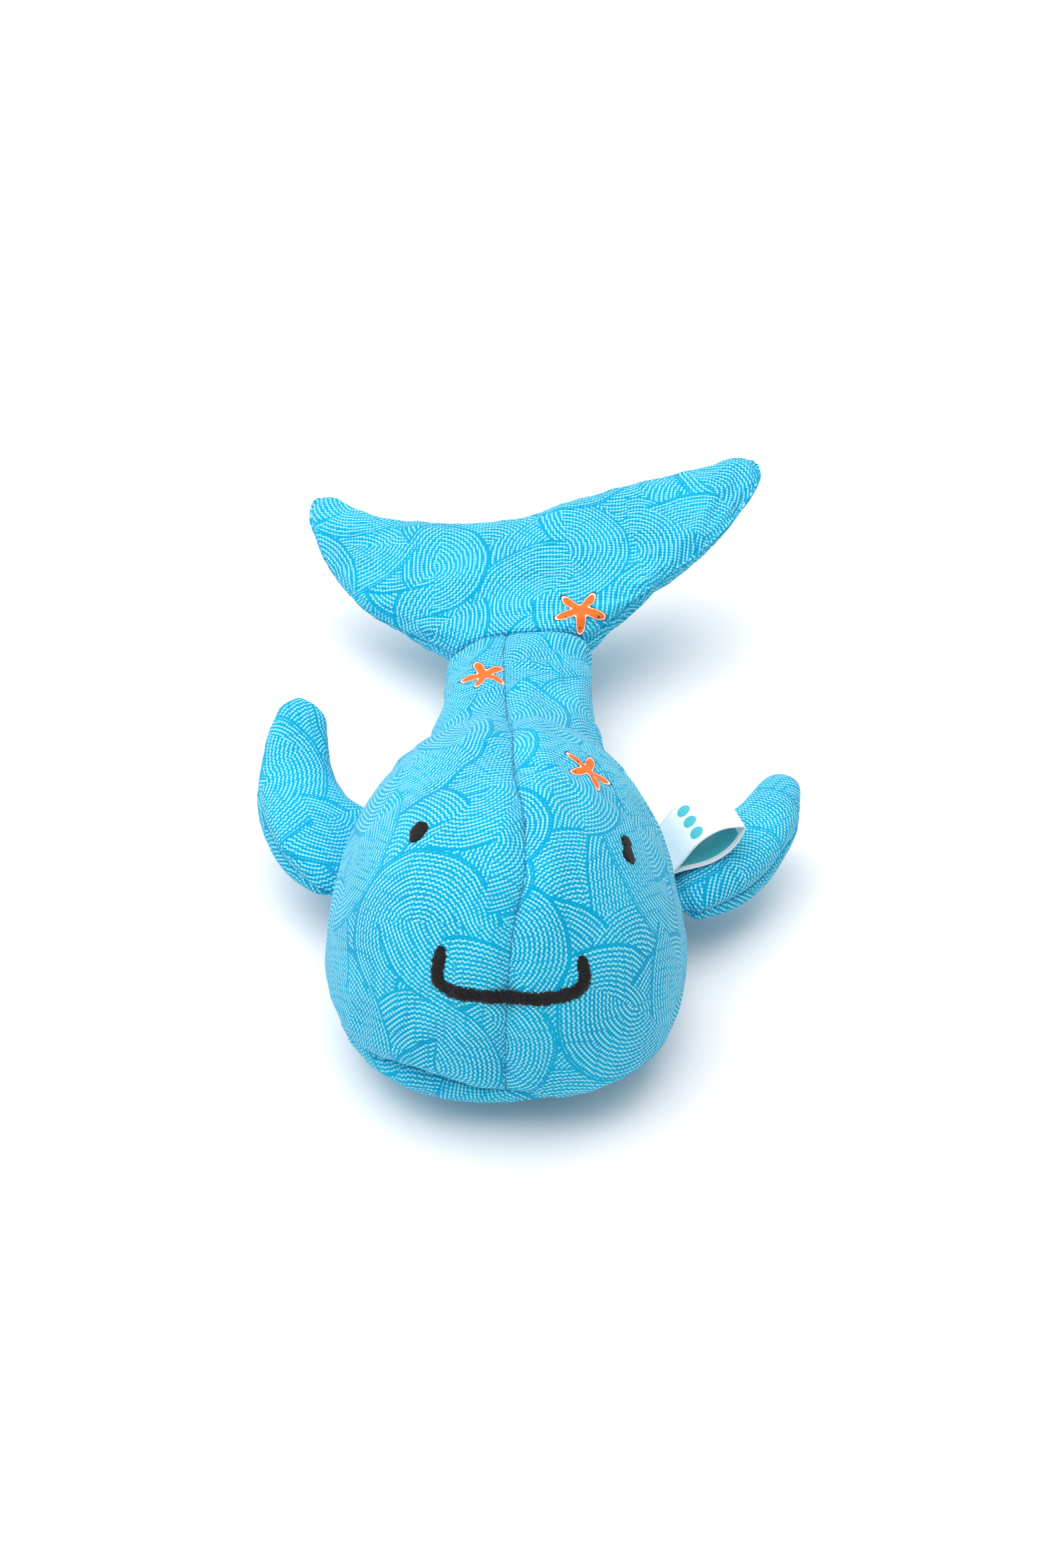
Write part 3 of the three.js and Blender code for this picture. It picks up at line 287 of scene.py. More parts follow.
def grid_quads(index):
    """The corners of each cell of a grid of vertex numbers."""
    return np.stack([index[:-1, :-1], index[:-1, 1:], index[1:, 1:], index[1:, :-1]], -1).reshape(-1, 4)


def body_grid(nose_rings, back_rings, segments):
    """Rows of a place and its two seam values, the faces over them, and the last ring's vertex numbers."""
    angles = (np.arange(1, nose_rings) / nose_rings) ** 1.25 * math.pi / 2
    ys = np.concatenate([WIDEST_Y - (WIDEST_Y - NOSE_Y) * np.cos(angles), np.linspace(WIDEST_Y, TAIL_Y, back_rings)])
    y, turn = np.meshgrid(ys, np.arange(segments) / segments, indexing="ij")
    inner_y, inner_turn = snapped(y[:-1], turn[:-1], segments)
    y, turn = np.concatenate([inner_y, y[-1:]]), np.concatenate([inner_turn, turn[-1:]])
    rows = np.concatenate([outline(y, turn)[0], np.stack(seam_values(y, turn), -1)], -1).reshape(-1, 5)
    pole = (HEAD_X, NOSE_Y, WIDEST_Z, *np.ravel(seam_values(np.array([NOSE_Y + 0.01]), np.array([0.25]))))
    index = ring_index(len(ys), segments)
    nose = np.stack([np.full(segments, len(rows)), index[0, :-1], index[0, 1:]], -1)
    faces = grid_quads(index)[:, [0, 2, 1, 0, 3, 2]].reshape(-1, 3)
    return np.concatenate([rows, [pole]]), np.concatenate([nose, faces]), index[-1, :-1].tolist()


def split(rows, faces, column):
    """Cuts a triangle mesh where a column of its rows is zero. Returns the rows and both sides' faces."""
    rows = [tuple(r) for r in rows]
    cuts = {}

    def cut(a, b):
        key = (min(a, b), max(a, b))
        if key not in cuts:
            p, q = rows[key[0]], rows[key[1]]
            t = p[column] / (p[column] - q[column])
            made = [m + (n - m) * t for m, n in zip(p, q)]
            made[column] = 0.0
            cuts[key] = len(rows)
            rows.append(tuple(made))
        return cuts[key]

    sides = {1: [], -1: []}
    for face in faces.tolist():
        signs = [0 if abs(rows[k][column]) < 1e-3 else math.copysign(1, rows[k][column]) for k in face]
        total = sum(signs)
        if 1 not in signs or -1 not in signs:
            sides[1 if total > 0 else -1].append(face)
            continue
        # The corner that is alone on its side, or on the cut itself, comes first
        k = signs.index(-total)
        a, b, c = face[k:] + face[:k]
        if total:
            m, n = cut(a, b), cut(c, a)
            sides[-total].append((a, m, n))
            sides[total] += [(m, b, c), (m, c, n)]
        else:
            m, side = cut(b, c), signs[(k + 1) % 3]
            sides[side].append((a, b, m))
            sides[-side].append((a, m, c))
    return np.array(rows), np.array(sides[1]), np.array(sides[-1])


def normals_of(points, faces):
    a, b, c = (points[faces[:, k]] for k in range(3))
    cross = np.cross(b - a, c - a)
    total = np.zeros_like(points)
    for k in range(3):
        np.add.at(total, faces[:, k], cross)
    return total / np.maximum(np.linalg.norm(total, axis=1, keepdims=True), 1e-12)


def edges_of(faces):
    """Every edge of a triangle mesh once, and how many faces have it."""
    pairs = np.concatenate([faces[:, [0, 1]], faces[:, [1, 2]], faces[:, [2, 0]]])
    return np.unique(np.sort(pairs, 1), axis=0, return_counts=True)


def open_edges(faces):
    edges, uses = edges_of(faces)
    return edges[uses == 1]


def neighbour_means(values, edges):
    """The mean of what each point's neighbours hold."""
    total = np.zeros_like(values)
    for here, there in ((0, 1), (1, 0)):
        np.add.at(total, edges[:, here], values[edges[:, there]])
    return (total.T / np.bincount(edges.ravel(), minlength=len(values)).clip(1)).T


def surface_of(points, faces):
    return BVHTree.FromPolygons(points.tolist(), faces.tolist())


def kd_of(points):
    tree = KDTree(len(points))
    for i, p in enumerate(points):
        tree.insert(p, i)
    tree.balance()
    return tree


def neck_fold(p):
    """How far the cloth sinks at the fold behind the head, and swells in front of it."""
    if p[2] < FOLD_LOW or not 25 < p[1] < 65:
        return 0
    line = FOLD_Y - FOLD_BOW * (p[0] - HEAD_X) ** 2 + 1.2 * noise.noise(Vector((p[0] / 9, 2, 5)))
    behind = p[1] - line
    sunk = -FOLD_DEPTH * bell(behind, FOLD_WIDTH)
    swell = FOLD_SWELL * bell(behind + FOLD_SWELL_AHEAD, FOLD_SWELL_WIDTH)
    return min(1, (p[2] - FOLD_LOW) / 12) * (sunk + swell)


def chin_tuck(p):
    return CHIN_TUCK * float(smooth((CHIN_BACK - p[1]) / CHIN_FADE) * smooth((CHIN_TOP - p[2]) / CHIN_TOP_FADE))


def sewn(points, normals, tree, folds, lump=LUMP, seed=0.0, depth=SEAM_DEPTH, body=False, tips=()):
    """Points moved as sewn and stuffed cloth lies: a valley and puckers at the seams, soft lumps elsewhere."""
    moved = points.copy()
    full = np.ones(len(points))
    for tip in tips:
        full = np.minimum(full, 0.1 + 0.9 * smooth(norms(points - tip) / TIP_REACH))
    for i, p in enumerate(points):
        near, _, distance = tree.find(p)
        place = Vector(p)
        soft = noise.noise(place / LUMP_SIZE + Vector((seed, 0, 0)))
        fine = noise.noise(place / (LUMP_SIZE / 3) + Vector((0, seed, 7)))
        deep = depth
        if body and near.y < 0 and near.z < 24:
            deep += CREASE_DEPTH * bell(near.x - CREASE_X, CREASE_HALF)
        valley = -deep * math.exp(-((distance / SEAM_WIDTH) ** 1.3))
        valley -= SEAM_DIP * depth / SEAM_DEPTH * bell(distance, SEAM_DIP_WIDTH)
        shoulder = SHOULDER * bell(distance - SHOULDER_AT, SHOULDER_WIDTH)
        pucker = PUCKER * noise.noise(near / PUCKER_PITCH + Vector((seed, 3, 1)))
        pucker *= math.exp(-distance / PUCKER_REACH) * min(1, distance / 0.8)
        rise = full[i] * (valley + pucker) + shoulder + lump * soft + FINE_LUMP * lump * fine
        rise += folds[i] * min(1, distance / 3.5)
        if body:
            rise += neck_fold(p) - chin_tuck(p)
        moved[i] = points[i] + normals[i] * rise
    moved[:, 2] = np.maximum(moved[:, 2], 0)
    return moved


def eased(points, faces, tips, reach=TIP_REACH, rounds=TIP_ROUNDS):
    """Points near the tips evened out, so that a corner becomes a round stuffed end."""
    edges, _ = edges_of(faces)
    far = np.min([norms(points - tip) for tip in tips], axis=0)
    weight = 0.7 * (1 - smooth(far / reach))[:, None]
    for _ in range(rounds):
        points = points + weight * (neighbour_means(points, edges) - points)
    return points


def mesh_object(name, points, faces):
    mesh = bpy.data.meshes.new(name)
    mesh.from_pydata((np.asarray(points) * MM).tolist(), [], [tuple(int(k) for k in f) for f in faces])
    mesh.polygons.foreach_set("use_smooth", [True] * len(mesh.polygons))
    mesh.update()
    piece = bpy.data.objects.new(name, mesh)
    SCENE.collection.objects.link(piece)
    return piece


def select_only(piece):
    for other in bpy.context.selected_objects:
        other.select_set(False)
    piece.select_set(True)
    bpy.context.view_layer.objects.active = piece


def used_only(points, faces):
    keep = np.unique(faces)
    place = np.full(len(points), -1)
    place[keep] = np.arange(len(keep))
    return points[keep], place[faces]


def wrinkles(points, faces, tree):
    """Simulates filled cloth held at its seams. Returns how far each point goes in or out, but for broad swelling."""
    piece = mesh_object("trial", points, faces)
    held = piece.vertex_groups.new(name="held")
    near = np.array([tree.find(p)[2] for p in points])
    held.add([int(k) for k in np.nonzero((near < SIM_HELD) | (points[:, 2] < 0.6))[0]], 1.0, "REPLACE")
    trial = piece.modifiers.new("cloth", "CLOTH")
    settings = trial.settings
    settings.quality, settings.mass = 6, 0.25
    settings.tension_stiffness = settings.compression_stiffness = 18
    settings.shear_stiffness, settings.bending_stiffness = 8, 0.12
    settings.use_pressure, settings.uniform_pressure_force = True, 4
    settings.vertex_group_mass = "held"
    settings.shrink_min = -SIM_SLACK
    settings.effector_weights.gravity = 0
    trial.collision_settings.use_collision = False
    trial.point_cache.frame_end = SIM_FRAMES
    for frame_number in range(1, SIM_FRAMES + 1):
        SCENE.frame_set(frame_number)
    shown = piece.evaluated_get(bpy.context.evaluated_depsgraph_get())
    moved = numbers(shown.data.vertices, "co", 3) / MM
    SCENE.frame_set(1)
    bpy.data.objects.remove(piece)
    offsets = ((moved - points) * normals_of(points, faces)).sum(1)
    edges, _ = edges_of(faces)
    broad = offsets.copy()
    for _ in range(SIM_SMOOTH):
        broad = 0.5 * broad + 0.5 * neighbour_means(broad, edges)
    return np.clip(SIM_GAIN * (offsets - broad), -SIM_MOST, SIM_MOST)


def carried(points, coarse, faces, offsets):
    """Offsets of a coarse form, read at the points of a finer one."""
    out = np.zeros(len(points))
    if not offsets.any():
        return out
    surface = surface_of(coarse, faces)
    for i, p in enumerate(points):
        place, _, face, _ = surface.find_nearest(Vector(p))
        corners = faces[face]
        a, b, c = (Vector(coarse[k]) for k in corners)
        whole = (b - a).cross(c - a)
        size = max(whole.length_squared, 1e-12)
        u = (b - place).cross(c - place).dot(whole) / size
        v = (c - place).cross(a - place).dot(whole) / size
        out[i] = u * offsets[corners[0]] + v * offsets[corners[1]] + (1 - u - v) * offsets[corners[2]]
    return out


def numbers(collection, name, width):
    out = np.empty(len(collection) * width, np.float32)
    collection.foreach_get(name, out)
    return out.reshape(-1, width)


def unwrap(piece, forward, origin):
    """Lays the piece's cloth flat, in millimetres, with its thread along a direction of the body at a place."""
    select_only(piece)
    bpy.ops.object.mode_set(mode="EDIT")
    bpy.ops.mesh.select_all(action="SELECT")
    bpy.ops.mesh.remove_doubles(threshold=0.06 * MM)
    bpy.ops.mesh.dissolve_degenerate(threshold=0.02 * MM)
    bpy.ops.mesh.quads_convert_to_tris()
    bpy.ops.uv.unwrap(method="MINIMUM_STRETCH", iterations=12, margin=0)
    bpy.ops.object.mode_set(mode="OBJECT")
    mesh = piece.data
    layer = mesh.uv_layers.active
    layer.name = "fabric"
    uv = numbers(layer.uv, "vector", 2).astype(float)
    points = numbers(mesh.vertices, "co", 3) / MM
    corners = np.empty(len(mesh.loops), np.int32)
    mesh.loops.foreach_get("vertex_index", corners)
    a, b, c = points[corners].reshape(-1, 3, 3).transpose(1, 0, 2)
    area = norms(np.cross(b - a, c - a)).sum()
    p, q, r = uv.reshape(-1, 3, 2).transpose(1, 0, 2)
    signed = (q - p)[:, 0] * (r - p)[:, 1] - (q - p)[:, 1] * (r - p)[:, 0]
    if signed.sum() < 0:
        uv[:, 0] *= -1
    uv *= math.sqrt(area / abs(signed.sum()))
    first = int(np.argmin(norms(points - np.array(origin))))
    beyond = int(np.argmin(norms(points - np.array(origin) - 12 * np.array(forward))))
    flat = lambda k: uv[np.where(corners == k)[0][0]]
    start, along = flat(first), flat(beyond) - flat(first)
    uv = np.stack(turned(*(uv - start).T, math.pi / 2 - math.atan2(along[1], along[0])), -1)
    layer.uv.foreach_set("vector", uv.astype(np.float32).ravel())
    return points, corners, uv


def solidify(piece, thickness=CLOTH):
    select_only(piece)
    shell = piece.modifiers.new("shell", "SOLIDIFY")
    shell.thickness, shell.offset = thickness * MM, -1
    bpy.ops.object.modifier_apply(modifier="shell")


# Materials
class Nodes:
    """A short way to write the nodes of a material or world."""

    def __init__(self, name, kind=bpy.data.materials):
        self.made = kind.new(name)
        self.made.use_nodes = True
        self.tree = self.made.node_tree

    def add(self, kind, inputs=(), **settings):
        node = self.tree.nodes.new(kind)
        for key, value in settings.items():
            setattr(node, key, value)
        for key, value in dict(inputs).items():
            self.put(node.inputs[key], value)
        return node

    def put(self, socket, value):
        if isinstance(value, bpy.types.NodeSocket):
            self.tree.links.new(value, socket)
        else:
            socket.default_value = value

    def math(self, operation, *values):
        return self.add("ShaderNodeMath", dict(enumerate(values)), operation=operation).outputs[0]

    def vector(self, operation, *values):
        node = self.add("ShaderNodeVectorMath", operation=operation)
        for k, value in enumerate(values):
            self.put(node.inputs["Scale" if operation == "SCALE" and k == 1 else k], value)
        return node.outputs["Value" if operation in ("LENGTH", "DISTANCE", "DOT_PRODUCT") else "Vector"]

    def mix(self, factor, a, b):
        node = self.add("ShaderNodeMix", data_type="RGBA")
        for key, value in ((0, factor), (6, a), (7, b)):
            self.put(node.inputs[key], value)
        return node.outputs[2]

    def blend(self, factor, a, b):
        return self.add("ShaderNodeMix", {0: factor, 2: a, 3: b}, data_type="FLOAT").outputs[0]

    def ramp(self, value, low, high):
        inputs = {0: value, 1: low, 2: high, 3: 0.0, 4: 1.0}
        return self.add("ShaderNodeMapRange", inputs, interpolation_type="SMOOTHSTEP").outputs[0]

    def noise(self, vector, scale, detail=2.0):
        return self.add("ShaderNodeTexNoise", {"Vector": vector, "Scale": scale, "Detail": detail}).outputs["Fac"]

    def finish(self, colour, height=None, distance=0.0002, strength=1.0, **values):
        inputs = self.tree.nodes["Principled BSDF"].inputs
        for key, value in {"Base_Color": colour, **values}.items():
            self.put(inputs[key.replace("_", " ")], value)
        if height is not None:
            bump = self.add("ShaderNodeBump", {"Height": height, "Distance": distance, "Strength": strength})
            self.put(inputs["Normal"], bump.outputs["Normal"])
        return self.made


def srgb(r, g, b):
    line = lambda v: v / 255 / 12.92 if v <= 10 else ((v / 255 + 0.055) / 1.055) ** 2.4
    return (line(r), line(g), line(b), 1.0)


# The print: its blues, its fans of rings, and how the weave and frayed fibre break a ring's line into dots
DEEP, MID, PALE, GLINT = srgb(0, 153, 199), srgb(0, 170, 212), srgb(156, 232, 243), srgb(14, 190, 232)
ORANGE, CREAM, PLUM, NAVY = srgb(238, 118, 52), srgb(250, 226, 214), srgb(92, 58, 70), srgb(38, 62, 104)
FAN_CELL, FAN_REACH, FAN_SHRINK, FAN_STRAY, FAN_BACK = 18.5, 24.6, -0.3, 0.16, 3.0
FAN_ELSE = (190, -140, 0)
RING_PITCH, FLUKE_RING_PITCH, WEAVE_PITCH = 1.04, 1.22, 0.84
DOT_WEAVE, DOT_FRAY, DOT_THIN = 1.9, 0.6, -1.05


def fans(n, uv, seed):
    """Overlapping fans of rings: how far a place lies from the middle of the fan that shows there, and from its rim."""
    cell = n.vector("SCALE", uv, 1 / FAN_CELL)
    home = n.vector("FLOOR", cell)
    far = n.vector("DISTANCE", uv, FAN_ELSE)
    best, reach = -0.25, 900.0
    for dx in (-1, 0, 1):
        for dy in (-1, 0, 1):
            corner = n.vector("ADD", home, (dx, dy, seed))
            draw = n.add("ShaderNodeTexWhiteNoise", {"Vector": corner}, noise_dimensions="3D")
            stray = n.vector("MULTIPLY_ADD", draw.outputs["Color"], (2 * FAN_STRAY, 2 * FAN_STRAY, 0),
                             (0.5 - FAN_STRAY, 0.5 - FAN_STRAY, 0))
            flat = n.vector("MULTIPLY", n.vector("ADD", corner, stray), (FAN_CELL, FAN_CELL, 0))
            distance = n.vector("DISTANCE", uv, flat)
            rank = draw.outputs["Value"]
            own = n.math("MULTIPLY_ADD", rank, FAN_SHRINK * FAN_REACH, FAN_REACH)
            inside = n.math("LESS_THAN", distance, own)
            aim = n.vector("SUBTRACT", draw.outputs["Color"], (0.5, 0.5, 0.0))
            aim = n.vector("NORMALIZE", n.vector("MULTIPLY", aim, (1, 1, 0)))
            lean = n.vector("DOT_PRODUCT", aim, n.vector("SUBTRACT", uv, flat))
            front = n.math("GREATER_THAN", lean, FAN_BACK)
            value = n.math("MULTIPLY_ADD", front, 2.0, n.math("ADD", rank, 1.0))
            score = n.math("MULTIPLY_ADD", inside, value, -0.5)
            wins = n.math("GREATER_THAN", score, best)
            far = n.blend(wins, far, distance)
            reach = n.blend(wins, reach, own)
            best = n.math("MAXIMUM", score, best)
    return far, n.math("SUBTRACT", reach, far)


def star(n, uv, place, turn, size):
    """A printed sea star: masks of its body, its outline, its pale rim and its dots."""
    offset = n.vector("SUBTRACT", uv, (place[0], place[1], 0))
    part = n.add("ShaderNodeSeparateXYZ", {0: offset})
    angle = n.math("ADD", n.math("ARCTAN2", part.outputs[1], part.outputs[0]), turn)
    length = n.vector("LENGTH", offset)
    lobes = n.math("COSINE", n.math("MULTIPLY", angle, 5.0))
    peak = n.math("POWER", n.math("MULTIPLY_ADD", lobes, 0.5, 0.5), 1.5)
    edge = n.math("MULTIPLY_ADD", peak, 0.6 * size, 0.4 * size)
    depth = n.math("SUBTRACT", edge, length)
    body = n.math("GREATER_THAN", depth, 0.0)
    line = n.math("LESS_THAN", n.math("ABSOLUTE", depth), 0.2)
    rim = n.math("LESS_THAN", n.math("ABSOLUTE", n.math("SUBTRACT", depth, 0.55)), 0.3)
    dots = n.add("ShaderNodeTexVoronoi", {"Vector": offset, "Scale": 0.62, "Randomness": 0.7})
    dot = n.math("LESS_THAN", dots.outputs["Distance"], 0.2)
    inner = n.math("GREATER_THAN", depth, 1.2)
    return body, line, rim, n.math("MULTIPLY", dot, inner)


def cloth(name, seed, stars=(), deep=False, pitch=RING_PITCH):
    n = Nodes(name)
    uv = n.add("ShaderNodeUVMap", uv_map="fabric").outputs[0]
    warp = n.add("ShaderNodeTexNoise", {"Vector": uv, "Scale": 0.07, "Detail": 1.0}).outputs["Color"]
    bent = n.vector("ADD", uv, n.vector("SCALE", n.vector("SUBTRACT", warp, (0.5, 0.5, 0.5)), 2.2))
    bent = n.vector("MULTIPLY", bent, (1, 1, 0))
    far, rim = fans(n, bent, seed)
    wave = n.math("SINE", n.math("MULTIPLY", far, 2 * math.pi / pitch))
    part = n.add("ShaderNodeSeparateXYZ", {0: uv})
    warps, wefts = (n.math("ABSOLUTE", n.math("SINE", n.math("MULTIPLY", part.outputs[k], math.pi / WEAVE_PITCH)))
                    for k in (0, 1))
    weave = n.math("MULTIPLY", warps, wefts)
    fibre = n.noise(uv, 6.0, 3.0)
    # A line shows where a ring runs, broken into dots by the weave
    fray = n.math("MULTIPLY_ADD", fibre, DOT_FRAY, DOT_THIN)
    ring = n.math("ADD", n.math("MULTIPLY_ADD", weave, DOT_WEAVE, wave), fray)
    line = n.math("MULTIPLY", n.ramp(ring, 0.15, 0.75), n.ramp(rim, 0.5, 0.8))
    base = n.mix(n.ramp(n.noise(uv, 0.05, 2.0), 0.3, 0.7), DEEP, MID)
    base = n.mix(n.math("MULTIPLY", n.ramp(weave, 0.1, 0.6), 0.16), base, GLINT)
    # Panels that face down (deep) get fainter pale lines: painted shade that darkens their print
    colour = n.mix(n.math("MULTIPLY", line, 0.84 if deep else 0.92), base, PALE)
    for place, turn, size in stars:
        body, edge, pale, dot = star(n, uv, place, turn, size)
        for mask, tint in ((body, ORANGE), (pale, CREAM), (dot, PLUM), (edge, NAVY)):
            colour = n.mix(mask, colour, tint)
    height = n.math("MULTIPLY_ADD", weave, 0.7, n.math("MULTIPLY", fibre, 0.5))
    return n.finish(colour, height, 0.00022, 0.55, Roughness=0.88, Sheen_Weight=0.15, Sheen_Roughness=0.4,
                    Specular_IOR_Level=0.08)


def thread_material(name, colour, other, scale=900.0, sheen=0.3):
    n = Nodes(name)
    place = n.add("ShaderNodeTexCoord").outputs["Object"]
    grain = n.noise(place, scale, 3.0)
    shade = n.mix(n.ramp(grain, 0.35, 0.65), colour, other)
    wide = n.noise(place, scale / 6, 2.0)
    return n.finish(n.mix(n.math("MULTIPLY", wide, 0.3), shade, colour), grain, 0.0002, 0.5, Roughness=0.7,
                    Sheen_Weight=sheen, Sheen_Roughness=0.4, Specular_IOR_Level=0.2)


def dress(piece, material, slot, *nodes):
    """Gives a piece its material and hides the CAD's nodes that it stands for. Its slot is not used."""
    piece.data.materials.clear()
    piece.data.materials.append(material)
    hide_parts(*nodes)
    return piece


BLUE_THREAD = thread_material("blue_thread", srgb(0, 132, 184), srgb(0, 108, 158), sheen=0.0)
BLACK_THREAD = thread_material("black_thread", srgb(14, 14, 18), srgb(34, 34, 40), 1500.0, 0.25)
FIBRE = thread_material("fibre_fill", srgb(240, 239, 233), srgb(222, 222, 216), 300.0, 0.4)

# Threads
class Strands:
    """Many short round threads gathered in one mesh."""

    def __init__(self):
        self.points, self.faces = [], []

    def add(self, path, radius, ends=0.35):
        path = [Vector(p) for p in path]
        first, last = len(self.points), len(path) - 1
        for i, p in enumerate(path):
            along = (path[min(i + 1, last)] - path[max(i - 1, 0)]).normalized()
            across = along.cross(Vector((0.31, 0.17, 0.94))).normalized()
            up = across.cross(along)
            width = radius * (ends if i in (0, last) else 1)
            for k in range(STRAND_SIDES):
                angle = 2 * math.pi * k / STRAND_SIDES
                self.points.append(p + width * (math.cos(angle) * across + math.sin(angle) * up))
        index = first + ring_index(last + 1, STRAND_SIDES)
        self.faces += grid_quads(index)[:, [0, 3, 2, 1]].tolist()
        self.faces += [index[0, :-1].tolist(), index[-1, -2::-1].tolist()]

    def piece(self, name, material, slot, *nodes):
        return dress(mesh_object(name, self.points, self.faces), material, slot, *nodes)


def lengths_along(p):
    return np.concatenate([[0], np.cumsum(norms(np.diff(p, axis=0)))])


def resampled(path, pitch):
    p = np.asarray(path, float)
    length = lengths_along(p)
    at = np.arange(0, length[-1], pitch)
    return np.stack([np.interp(at, length, p[:, k]) for k in range(p.shape[1])], -1)


def edge_runs(edges):
    """Edges joined into runs of vertices."""
    near = {}
    for a, b in edges:
        near.setdefault(a, []).append(b)
        near.setdefault(b, []).append(a)
    runs, left = [], {tuple(sorted(e)) for e in edges}
    while left:
        ends = [k for k in near if len([m for m in near[k] if tuple(sorted((k, m))) in left]) == 1]
        at = ends[0] if ends else next(iter(left))[0]
        run = [at]
        while True:
            onward = [m for m in near[at] if tuple(sorted((at, m))) in left]
            if not onward:
                break
            left.discard(tuple(sorted((at, onward[0]))))
            at = onward[0]
            run.append(at)
        runs.append(run)
    return sorted(runs, key=len, reverse=True)


def stitched(strands, path, surface):
    """A row of stitches along a seam, lying in its valley. None is made where the seam turns sharply."""
    steps = resampled(path, STITCH_PITCH / 4)
    for k in range(0, len(steps) - 3, 4):
        dash = []
        legs = np.diff(steps[k:k + 4], axis=0)
        if (legs[0] * legs[-1]).sum() < SHARP_TURN * norms(legs[0]) * norms(legs[-1]):
            continue
        for m, p in enumerate(steps[k:k + 3]):
            place, normal, _, _ = surface.find_nearest(Vector(p))
            dash.append(place + normal * (STITCH_SINK + (STITCH_ARCH if m == 1 else 0)))
        strands.add(dash, STITCH_RADIUS, STITCH_ENDS)


# Body
rows, faces, tail_ring = body_grid(*BODY_RINGS)
whole_points, whole_faces = rows[:, :3].copy(), faces.copy()
rows, side_faces, belly_faces = split(rows, faces, 4)
rows, left_faces, right_faces = split(rows, side_faces, 3)
all_faces = np.concatenate([left_faces, right_faces, belly_faces])
body_points = rows[:, :3]
body_normals = normals_of(body_points, all_faces)
seam_rows = np.unique(np.concatenate([open_edges(f) for f in (left_faces, right_faces, belly_faces)]))
seam_tree = kd_of(body_points[seam_rows])
coarse_rows, coarse_faces, _ = body_grid(*BODY_TRIAL)
coarse = coarse_rows[:, :3]
body_offsets = wrinkles(coarse, coarse_faces, seam_tree)
folds = carried(body_points, coarse, coarse_faces, body_offsets)
# The embroidery lies on a skin with shallow valleys, the rest on the real one
flat_points = sewn(body_points, body_normals, seam_tree, folds, depth=FLAT_SEAM_DEPTH, body=True)
flat_surface = surface_of(flat_points, all_faces)
body_points = sewn(body_points, body_normals, seam_tree, folds, body=True)
body_surface = surface_of(body_points, all_faces)

whole_normals = normals_of(whole_points, whole_faces)
whole_folds = carried(whole_points, coarse, coarse_faces, body_offsets)
whole_moved = sewn(whole_points, whole_normals, seam_tree, whole_folds, body=True) - FIBRE_INSET * whole_normals
cap = len(whole_moved)
whole_moved = np.concatenate([whole_moved, whole_moved[tail_ring].mean(0, keepdims=True)])
cap_faces = [(cap, b, a) for a, b in zip(tail_ring, tail_ring[1:] + tail_ring[:1])]
body_fibre = mesh_object("body_fibre", whole_moved, np.concatenate([whole_faces, cap_faces]))
dress(body_fibre, FIBRE, "fill", "body_stuffing")

body_cloths = {}
for name, part_faces, origin in (("left_side", left_faces, (38, 0, 35)), ("right_side", right_faces, (-40, 0, 35)),
                                 ("belly", belly_faces, (0, 0, 0))):
    piece = mesh_object(name + "_cloth", *used_only(body_points, part_faces))
    body_cloths[name] = (piece, *unwrap(piece, (0, 1, 0), origin))


def uv_at(name, place):
    """Where a place of the body lies on its flat cloth."""
    _, points, corners, uv = body_cloths[name]
    vertex = int(np.argmin(norms(points - np.array(place))))
    return tuple(float(v) for v in uv[np.where(corners == vertex)[0][0]])


left_stars = [(uv_at("left_side", (17, -5, 61)), 1.3, 6.6)]
right_stars = [(uv_at("right_side", (-7, 78, 31)), 0.5, 6.8)]
for name, seed, stars in (("left_side", 11, left_stars), ("right_side", 23, right_stars), ("belly", 37, ())):
    # The belly faces down and gets the deep print: painted shade
    piece, deep = body_cloths[name][0], name == "belly"
    slot = "deep_print_cloth" if deep else "print_cloth"
    dress(piece, cloth(name + "_print", seed, stars, deep), slot, name + "_panel")
    solidify(piece)
for piece in [made[0] for made in body_cloths.values()] + [body_fibre]:
    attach(piece, "whale_body")


# Limbs
def catmull(points):
    """A centripetal curve through points, as places at even lengths along it."""
    p = np.asarray(points, float)
    p = np.concatenate([[2 * p[0] - p[1]], p, [2 * p[-1] - p[-2]]])
    out = []
    for k in range(1, len(p) - 2):
        a, b, c, d = p[k - 1:k + 3]
        t = [0.0]
        for m, q in ((a, b), (b, c), (c, d)):
            t.append(t[-1] + max(np.linalg.norm(q - m), 1e-9) ** 0.5)
        s = np.linspace(t[1], t[2], 60, endpoint=k == len(p) - 3)[:, None]
        lerp = lambda u, v, i, j: (t[j] - s) / (t[j] - t[i]) * u + (s - t[i]) / (t[j] - t[i]) * v
        e, f, g = lerp(a, b, 0, 1), lerp(b, c, 1, 2), lerp(c, d, 2, 3)
        out.append(lerp(lerp(e, f, 0, 2), lerp(f, g, 1, 3), 1, 2))
    out = np.concatenate(out)
    length = lengths_along(out)
    return lambda share: np.stack([np.interp(np.asarray(share) * length[-1], length, out[:, k])
                                   for k in range(out.shape[1])], -1)


def edge_curve(start, shape, wide, long):
    """An edge's curve, from its start through places given as shares of a width and a length."""
    return catmull(start + [(x * wide, y * long) for x, y in shape])


def placed(name, points):
    x, y, z, origin = (np.array(v, float) for v in LIMBS[name])
    return points[..., 0:1] * x + points[..., 1:2] * y + points[..., 2:3] * z + origin


